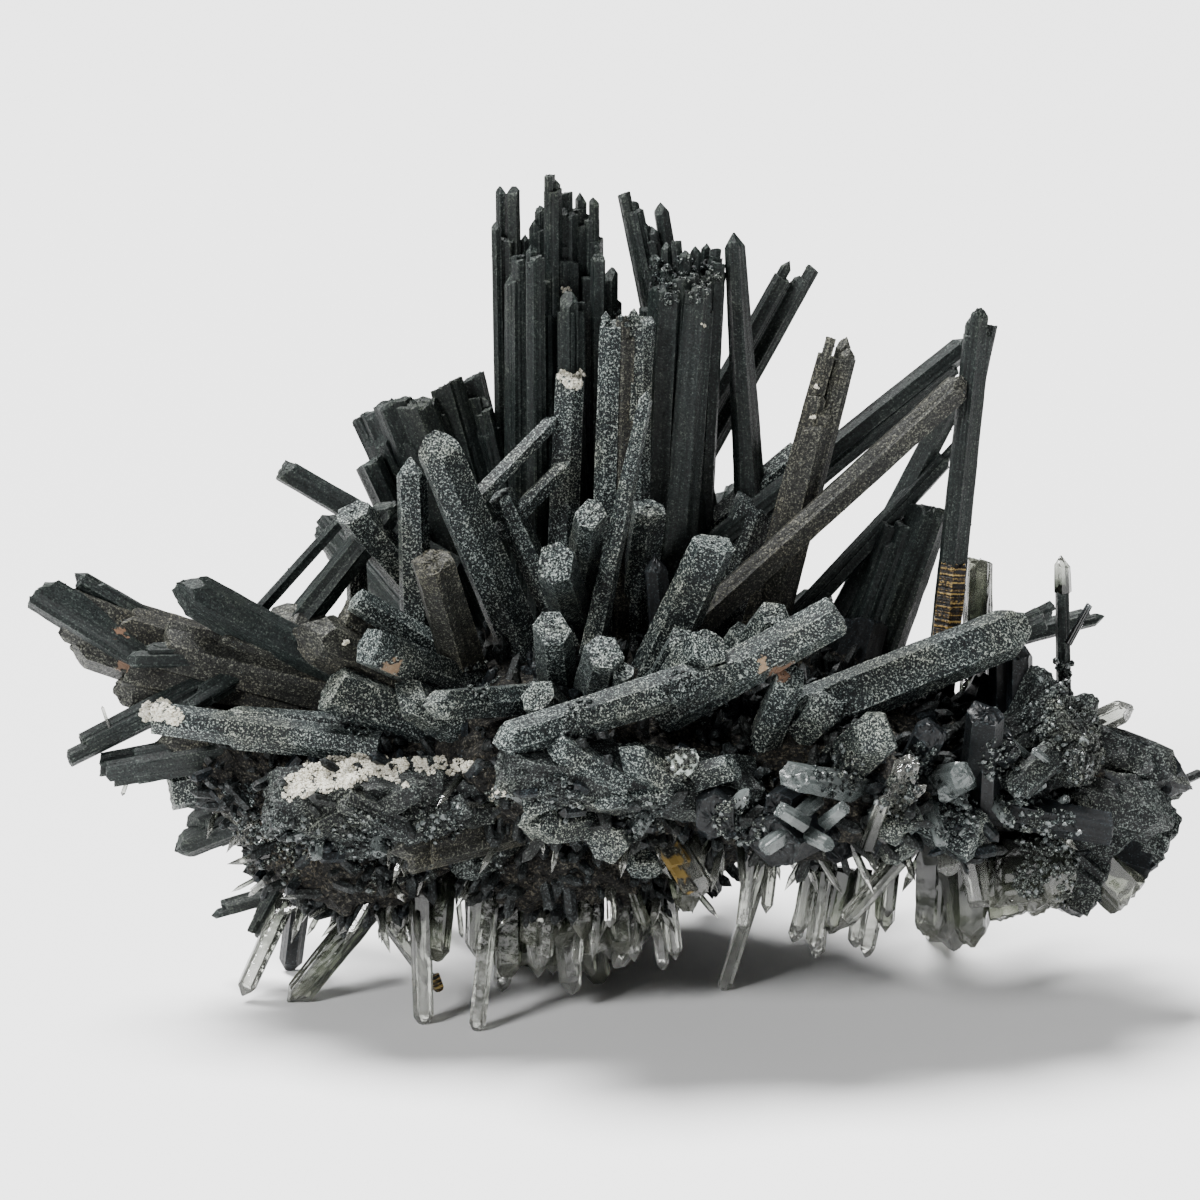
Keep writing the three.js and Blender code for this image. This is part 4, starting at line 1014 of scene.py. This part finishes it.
FINISHES = {
    # Chlorite druse on quartz: dull, black-green, thick with grey specks
    "grainy": grown_quartz(
        "chlorite_druse_on_quartz",
        ["#010203", "#04070a", "#0a1012", "#182022", "#384240", "#949c98"],
        stains=RUST,
    ),
    # Druse on broken plates, darker
    "slab": grown_quartz(
        "chlorite_druse_on_plates",
        ["#010202", "#030405", "#06090a", "#0d1213", "#1d2424", "#69706c"],
        stains=RUST,
    ),
    # Quartz grown in parallel, stained dark by chlorite: smoother, ribbed lengthwise, a few fine specks
    "ribbed": grown_quartz(
        "ribbed_chlorite_quartz",
        ["#030405", "#060a0a", "#0c1212", "#141b1a", "#202725", "#434a46"],
        lines=0.6,
        end_highlight=0.15,
        speck_and_relief_shade=1.6,
        stains=LEFT_RUST,
    ),
    # The same with a film of iron oxide: olive to tan
    "olive": grown_quartz(
        "iron_filmed_chlorite_quartz",
        ["#030303", "#090908", "#131412", "#20211e", "#363731", "#63645b"],
        lines=0.3,
        speck_and_relief_shade=2.4,
        film=0.45,
        stains=RUST + LEFT_RUST,
    ),
    # Bare prism faces of smoky quartz: dark, smooth and blue-grey where they mirror the light
    "glassy": grown_quartz(
        "smoky_quartz_face",
        ["#020303", "#040506", "#07090b", "#0b0e11", "#13181b", "#3a4246"],
        end_highlight=0.05,
        speck_and_relief_shade=1.5,
        rough=(0.3, 0.5),
        bump=0.15,
    ),
    # Iron oxide laid down in thin bands across the growth: gold on black
    "golden": grown_quartz(
        "iron_banded_quartz",
        ["#040404", "#080706", "#0e0b08", "#1d160c", "#57431f", "#b3985a"],
        speck_and_relief_shade=0.5,
        lines=3.0,
        drawn=(60, 0.28),
        rough=(0.3, 0.5),
        shine=0.3,
    ),
    # Clouded quartz: whitish, light passes through dimly
    "milky": clear_quartz("milky_quartz", ["#2a302f", "#4c5352", "#747b7a", "#5b6261"], 0.25, 0.45, 0.9),
    # Clear quartz with chlorite inside: grey-green
    "green": clear_quartz(
        "chlorite_clouded_quartz", ["#0b0f0b", "#23281f", "#4c5145", "#85877b"], 0.14, 0.75, 0.9
    ),
    # Smoky quartz: grey-brown glass, dark towards its foot
    "smoky": clear_quartz("smoky_quartz", ["#050606", "#0f1111", "#1f2223", "#444a4b"], 0.14, 0.7, 0.8),
    # Rock crystal: glass-clear, faintly veiled
    "clear": clear_quartz("rock_crystal", ["#1c201a", "#585c54", "#9fa19a", "#c9cac4"], 0.06, 0.88, 0.6),
}

# Small crystals on the matrix: as the druse, without the painted highlights on edges and end faces
SMALL_DRUSE = grown_quartz(
    "small_druse_crystals",
    ["#030404", "#070909", "#0d1010", "#151919", "#252a2b", "#4a5051"],
    pale=-0.05,
    edge_highlight=0,
)
# Paler porous druse, greenish
PALE_DRUSE = grown_quartz(
    "pale_porous_druse",
    ["#030403", "#090b0a", "#151817", "#282d2a", "#484e4a", "#8b928c"],
    grain=0.16,
    edge_highlight=0,
    bump=0.6,
)
# Matrix: a crust of chlorite, broken quartz and iron oxide, brown to green-black
MATRIX = grown_quartz(
    "chlorite_and_iron_matrix",
    ["#020202", "#060605", "#0b0b09", "#131310", "#24221d", "#4b4941"],
    grain=0.28,
    edge_highlight=0,
    rough=(0.5, 0.8),
    bump=0.9,
    stains=CAVITY,
)
# Calcite: porous, cream-white
POROUS_CALCITE = grown_quartz(
    "porous_calcite",
    ["#77725f", "#a5a08d", "#c0bba9", "#d2cebf", "#dedbcf", "#e8e6dc"],
    grain=0.14,
    edge_highlight=0,
    film=0,
    rough=(0.6, 0.9),
    bump=0.5,
)
# Single grains of chlorite druse, dull, grey to black: finish, crowd on a square metre, width and thickness
GRAINS = {
    "pale_grains": (plain_grain("pale_chlorite_grain", "#3a4041"), 0.25e6, 0.22, 0.16),
    "sage_grains": (plain_grain("grey_chlorite_grain", "#1b1f20"), 0.3e6, 0.26, 0.2),
    "dark_grains": (plain_grain("black_chlorite_grain", "#080a0a"), 0.25e6, 0.3, 0.22),
}


def put(name, data):
    """Puts an object with this mesh, light or camera in the scene"""
    made = bpy.data.objects.new(name, data)
    bpy.context.scene.collection.objects.link(made)
    return made


def form(name, points, faces, finish=None, marks=None, growth_map=None):
    """An object from corners in metres, with marks, which are numbers of its corners, and a growth map"""
    mesh = bpy.data.meshes.new(name)
    mesh.from_pydata(points, [], faces)
    if growth_map is not None:
        mesh.uv_layers.new(name="growth").uv.foreach_set("vector", growth_map.ravel())
    for key, values in (marks or {}).items():
        mesh.attributes.new(key, "FLOAT", "POINT").data.foreach_set("value", values)
    if finish:
        mesh.materials.append(finish)
    return put(name, mesh)


def crystal_piece(name, shells, finish):
    """A piece of grown shells"""
    points, faces = joined([shell[:2] for shell in shells])
    marks = {key: np.concatenate([shell.marks[key] for shell in shells]) for key in shells[0].marks}
    return form(name, points * MM, faces, finish, marks, np.concatenate([shell.map for shell in shells]))


def plain_piece(name, forms, finish):
    """A piece without growth lines or the painted edge highlight. Its finish is that of a crystal some way
    up.
    """
    points, faces = joined(forms)
    marks = {"rise": np.full(len(points), 0.6), "edge_gap": np.full(len(points), 1.0)}
    return form(name, points * MM, faces, finish, marks)


def crust(name, spots, crowd, grain, flatness, finish, seed):
    """Small uneven grains laid on what the front view shows, round each (right, up) as far as its reach.

    Crowd is their number for a reach of 1. Flatness is the share of a grain's thickness that is missing."""
    rng = np.random.default_rng(seed)
    corners, triangles = ball(1)
    laid = []
    for right, up, reach in spots:
        for _ in range(max(FEWEST_GRAINS, int(crowd * reach ** 2))):
            turn, away = rng.uniform(0, 2 * math.pi), reach * math.sqrt(rng.random())
            hit = on_surface(right + away * math.cos(turn), up + away * math.sin(turn))
            if hit is None:
                continue
            place, outward = hit
            uneven = corners * rng.uniform(*GRAIN_CORNERS, (len(corners), 1)) * grain
            uneven = uneven * rng.uniform(*GRAIN_SIZES) / 2
            uneven -= flatness * (uneven @ outward)[:, None] * outward
            grains = uneven + place + outward * (1 - flatness) * grain * rng.uniform(*GRAIN_RISES)
            grains[:, 2] = np.maximum(grains[:, 2], LOWEST_CRYSTAL)
            laid.append((grains, triangles))
    return plain_piece(name, laid, finish)


pieces = []
for (region, finish), shells in gathered.items():
    piece = crystal_piece(f"{region}_{finish}", shells, FINISHES[finish])
    pieces.append(piece)

# The matrix in two pieces, because a piece has to stay under 200,000 triangles
half = len(lumps) // 2
matrix = [plain_piece("matrix_1", lumps[:half], MATRIX), plain_piece("matrix_2", lumps[half:], MATRIX)]
pieces += matrix

crusts = []
for name, spots, crowd, grain, flatness, finish, slot in [
    ("calcite", CALCITE, 110, 0.58, 0.6, POROUS_CALCITE, "calcite_crust"),
    ("crumbs", RIM_CRUMBS + MIDDLE_CRUMBS, 9, 0.9, 0.2, FINISHES["grainy"], "chlorite_quartz"),
    ("fine_crumbs", RIM_CRUMBS + MIDDLE_CRUMBS, 9, 0.5, 0.2, SMALL_DRUSE, "chlorite_quartz"),
    ("pale_crumbs", PALE_CRUMBS, 26, 0.75, 0.3, PALE_DRUSE, "chlorite_quartz"),
    ("glass_crumbs", RIM_CRUMBS + PALE_CRUMBS, 3.0, 0.9, 0.3, FINISHES["milky"], "clear_quartz"),
]:
    crusts.append(crust(name, spots, crowd, grain, flatness, finish, len(crusts)))


def growth_tree(name, shape):
    """Geometry Nodes that grow many small forms on a marked surface, from sizes in metres and shares"""
    tree = bpy.data.node_groups.new(name, "GeometryNodeTree")
    kinds = {
        "Surface": "Geometry",
        "Per square metre": "Float",
        "Mark": "String",
        "Width": "Float",
        "Length": "Float",
        "Least": "Float",
        "Tilt": "Float",
        "Fan": "Float",
        "Seed": "Int",
        "Finish": "Material",
    }
    for label, kind in kinds.items():
        tree.interface.new_socket(label, in_out="INPUT", socket_type="NodeSocket" + kind)
    tree.interface.new_socket("Growth", in_out="OUTPUT", socket_type="NodeSocketGeometry")
    given = add(tree, "NodeGroupInput").outputs
    seed = {"Seed": given["Seed"]}

    mark = add(tree, "GeometryNodeInputNamedAttribute", {"Name": given["Mark"]}, data_type="FLOAT")
    crowd = add(tree, "ShaderNodeMath", (mark, given["Per square metre"]), operation="MULTIPLY")
    spots = add(
        tree,
        "GeometryNodeDistributePointsOnFaces",
        {"Mesh": given["Surface"], "Density": crowd, **seed},
        distribute_method="RANDOM",
    )

    # Each stands between off the surface and outward from the cluster's heart, and leans a little
    where = add(tree, "GeometryNodeInputPosition")
    away = add(tree, "ShaderNodeVectorMath", (where, Vector(HEART) * MM), operation="SUBTRACT")
    outward = add(tree, "ShaderNodeVectorMath", [away], operation="NORMALIZE")
    ways = {0: given["Fan"], 4: spots.outputs["Normal"], 5: outward}
    way = add(tree, "ShaderNodeMix", ways, data_type="VECTOR").outputs[1]
    stood = add(tree, "FunctionNodeAlignRotationToVector", {"Vector": way}, axis="Z")
    back_tilt = add(tree, "ShaderNodeMath", (given["Tilt"], -1.0), operation="MULTIPLY")
    low = add(tree, "ShaderNodeCombineXYZ", (back_tilt, back_tilt, -math.pi))
    high = add(tree, "ShaderNodeCombineXYZ", (given["Tilt"], given["Tilt"], math.pi))
    lean = add(tree, "FunctionNodeRandomValue", {0: low, 1: high, **seed}, data_type="FLOAT_VECTOR")
    leant = add(tree, "FunctionNodeEulerToRotation", [lean])
    turned = add(tree, "FunctionNodeRotateRotation", (stood, leant), rotation_space="LOCAL")

    least = {2: given["Least"], 3: 1.0}
    size = add(tree, "FunctionNodeRandomValue", {**least, **seed}, data_type="FLOAT").outputs[1]
    wide = add(tree, "ShaderNodeMath", (size, given["Width"]), operation="MULTIPLY")
    tall = add(tree, "ShaderNodeMath", (size, given["Length"]), operation="MULTIPLY")
    sizes = add(tree, "ShaderNodeCombineXYZ", (wide, wide, tall))
    grown = add(
        tree,
        "GeometryNodeInstanceOnPoints",
        {"Points": spots, "Instance": shape(tree), "Rotation": turned, "Scale": sizes},
    )
    real = add(tree, "GeometryNodeRealizeInstances", [grown])
    finished = add(tree, "GeometryNodeSetMaterial", {0: real, "Material": given["Finish"]})
    add(tree, "NodeGroupOutput", [finished])
    return tree


def grain_shape(tree):
    """An eight-faced grain one unit across"""
    return add(tree, "GeometryNodeMeshUVSphere", {"Segments": 4, "Rings": 2, "Radius": 0.5})


# A small crystal one unit across: its shaft is one unit long, and its foot lies below the surface it grows on
SHAFT_MIDDLE = 0.2
STUB_TIP = 0.28
STUB_BLUNT = 0.02


def stub_shape(tree):
    """A six-sided prism one unit across, up to a point, with how far up each corner is"""
    prism_sizes = {"Vertices": 6, "Radius": 0.5, "Depth": 1.0}
    shaft = add(tree, "GeometryNodeMeshCylinder", prism_sizes, fill_type="NGON")
    raised = add(tree, "GeometryNodeTransform", {0: shaft, "Translation": (0, 0, SHAFT_MIDDLE)})
    tip = add(
        tree,
        "GeometryNodeMeshCone",
        {"Vertices": 6, "Radius Top": STUB_BLUNT, "Radius Bottom": 0.5, "Depth": STUB_TIP},
        fill_type="NGON",
    )
    topped = add(tree, "GeometryNodeTransform", {0: tip, "Translation": (0, 0, SHAFT_MIDDLE + 0.5)})
    whole = add(tree, "GeometryNodeJoinGeometry", [raised])
    tree.links.new(topped.outputs[0], whole.inputs[0])
    height = add(tree, "ShaderNodeSeparateXYZ", [add(tree, "GeometryNodeInputPosition")]).outputs[2]
    rise = {"Geometry": whole, "Name": "rise", "Value": height}
    return add(tree, "GeometryNodeStoreNamedAttribute", rise, data_type="FLOAT", domain="POINT")


def grow(name, bed, tree, finish, slot, **sizes):
    """Grows a piece on a bed, which stays as it is"""
    step = bed.modifiers.new("growth", "NODES")
    step.node_group = tree
    values = {"Finish": finish, **{key.replace("_", " ").capitalize(): value for key, value in sizes.items()}}
    for item in tree.interface.items_tree:
        if item.in_out == "INPUT" and item.name in values:
            step[item.identifier] = values[item.name]
    whole = bed.evaluated_get(bpy.context.evaluated_depsgraph_get())
    mesh = bpy.data.meshes.new_from_object(whole)
    bed.modifiers.remove(step)
    mesh.name = name
    piece = put(name, mesh)
    pieces.append(piece)


def numbers(items, key, each):
    """What each corner of a mesh has under a key, in rows of so many numbers"""
    values = np.empty(len(items) * each, np.float32)
    items.foreach_get(key, values)
    return values.reshape(-1, each)


BARE_SHARE = 0.8  # of a lump's half size, inside which nothing grows on a crystal
STUBS_ABOVE = 5  # lowest place of the small crystals, in millimetres
NEEDLES_ABOVE = 7  # and of the needles
MATRIX_GRAINS = 0.8  # share of grains on the matrix
# Share of small crystals that sit on the crystals of a region, against those on the matrix
STUB_SHARES = {
    "front_rim_slab": 0.25,
    "front_rim_grainy": 0.25,
    "right_block_glassy": 0.03,
    "right_block_slab": 0.1,
}


def in_matrix(points):
    """Whether each point, in metres, lies inside a lump of the matrix"""
    inside = np.zeros(len(points), bool)
    for at, half in LUMPS:
        inside |= (((points / MM - placed(at)) / (np.array(half) * BARE_SHARE)) ** 2).sum(1) < 1
    return inside


def bed_of(name, parts):
    """One mesh of several pieces, to grow on, with marks for what grows where"""
    forms, marks = [], {"grains": [], "stubs": [], "under": []}
    for part in parts:
        mesh = part.data
        points = numbers(mesh.vertices, "co", 3)
        forms.append((points, [polygon.vertices for polygon in mesh.polygons]))
        if part in matrix:
            down = np.clip(-numbers(mesh.vertices, "normal", 3)[:, 2], 0, 1)
            grains, crowd = np.full(len(points), MATRIX_GRAINS), 1.0
            under = np.where(points[:, 2] > NEEDLES_ABOVE * MM, down, 0)
        else:
            kept = numbers(mesh.attributes["grains"].data, "value", 1)[:, 0]
            grains, crowd = np.where(in_matrix(points), 0, kept), STUB_SHARES.get(part.name, 0)
            under = np.zeros(len(points))
        marks["grains"].append(grains)
        marks["stubs"].append(np.where(points[:, 2] > STUBS_ABOVE * MM, crowd, 0.0))
        marks["under"].append(under)
    points, faces = joined(forms)
    return form(name, points, faces, marks={key: np.concatenate(values) for key, values in marks.items()})


grains_tree = growth_tree("grain_growth", grain_shape)
stubs_tree = growth_tree("stub_growth", stub_shape)
bed = bed_of("bed", pieces)
pieces += crusts
for seed, (name, (finish, crowd, wide, thick)) in enumerate(GRAINS.items(), 1):
    grow(name, bed, grains_tree, finish, "chlorite_quartz", mark="grains", per_square_metre=crowd,
         width=wide * MM, length=thick * MM, least=0.5, tilt=0.6, fan=0.0, seed=seed)
grow("matrix_stubs", bed, stubs_tree, SMALL_DRUSE, "chlorite_quartz", mark="stubs",
     per_square_metre=0.2e6, width=1.3 * MM, length=3.0 * MM, least=0.3, tilt=0.7, fan=0.4, seed=4)
grow("matrix_chips", bed, stubs_tree, FINISHES["glassy"], "chlorite_quartz", mark="stubs",
     per_square_metre=0.06e6, width=1.4 * MM, length=2.4 * MM, least=0.3, tilt=1.2, fan=0.3, seed=5)
grow("under_needles", bed, stubs_tree, FINISHES["clear"], "clear_quartz", mark="under",
     per_square_metre=0.07e6, width=0.9 * MM, length=6.0 * MM, least=0.4, tilt=0.35, fan=0.3, seed=6)
bpy.data.objects.remove(bed, do_unlink=True)

for piece in pieces:
    corners = numbers(piece.data.vertices, "co", 3)
    corners[:, 2] = np.maximum(corners[:, 2], 0)  # nothing reaches below the surface it stands on
    piece.data.vertices.foreach_set("co", corners.ravel())
    piece.data.shade_flat()
    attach(piece, "root")
    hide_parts("chlorite_quartz_cluster")

# A plain pale floor and soft studio light
floor_finish, floor_tree = bare_material("pale_floor")
end_in_shader(floor_tree, {"Base Color": linear("#fbfbfb"), "Roughness": 0.6})
floor = form("floor", [(-3, -3, 0), (3, -3, 0), (3, 5, 0), (-3, 5, 0)], [(0, 1, 2, 3)], floor_finish)

SKY_LOW, SKY_HIGH, SKY_HIGH_FROM = 1.35, 2.9, 0.7  # brightness at the horizon and from this rise up

world = bpy.data.worlds.new("studio")
bpy.context.scene.world = world
world.use_nodes = True
sky = world.node_tree
heading = add(sky, "ShaderNodeTexCoord").outputs["Generated"]
rise = add(sky, "ShaderNodeSeparateXYZ", [heading]).outputs[2]
limits = {"From Min": 0.0, "From Max": SKY_HIGH_FROM, "To Min": SKY_LOW, "To Max": SKY_HIGH}
dome = add(sky, "ShaderNodeMapRange", {"Value": rise, **limits})
sky.links.new(dome.outputs[0], sky.nodes["Background"].inputs["Strength"])


def soft_light(name, came_from, width, strength):
    """A wide even light that comes from one side of the studio, width in degrees of the sky"""
    light = bpy.data.lights.new(name, "SUN")
    light.angle = math.radians(width)
    light.energy = strength
    put(name, light).rotation_euler = Vector(came_from).to_track_quat("Z", "Y").to_euler()


soft_light("overhead", (-0.3, 0.2, 1.0), 30, 11.0)
soft_light("front_left", (-0.8, -0.9, 0.7), 16, 3.0)

camera_data = bpy.data.cameras.new("front_view")
camera_data.lens = LENS
camera_data.sensor_width = SENSOR
camera_data.clip_start = 0.01
camera = put("front_view", camera_data)
camera.location = (EYE - MIDDLE) * MM
camera.rotation_euler = (math.pi / 2 - EYE_RISE, 0, 0)
bpy.context.scene.camera = camera
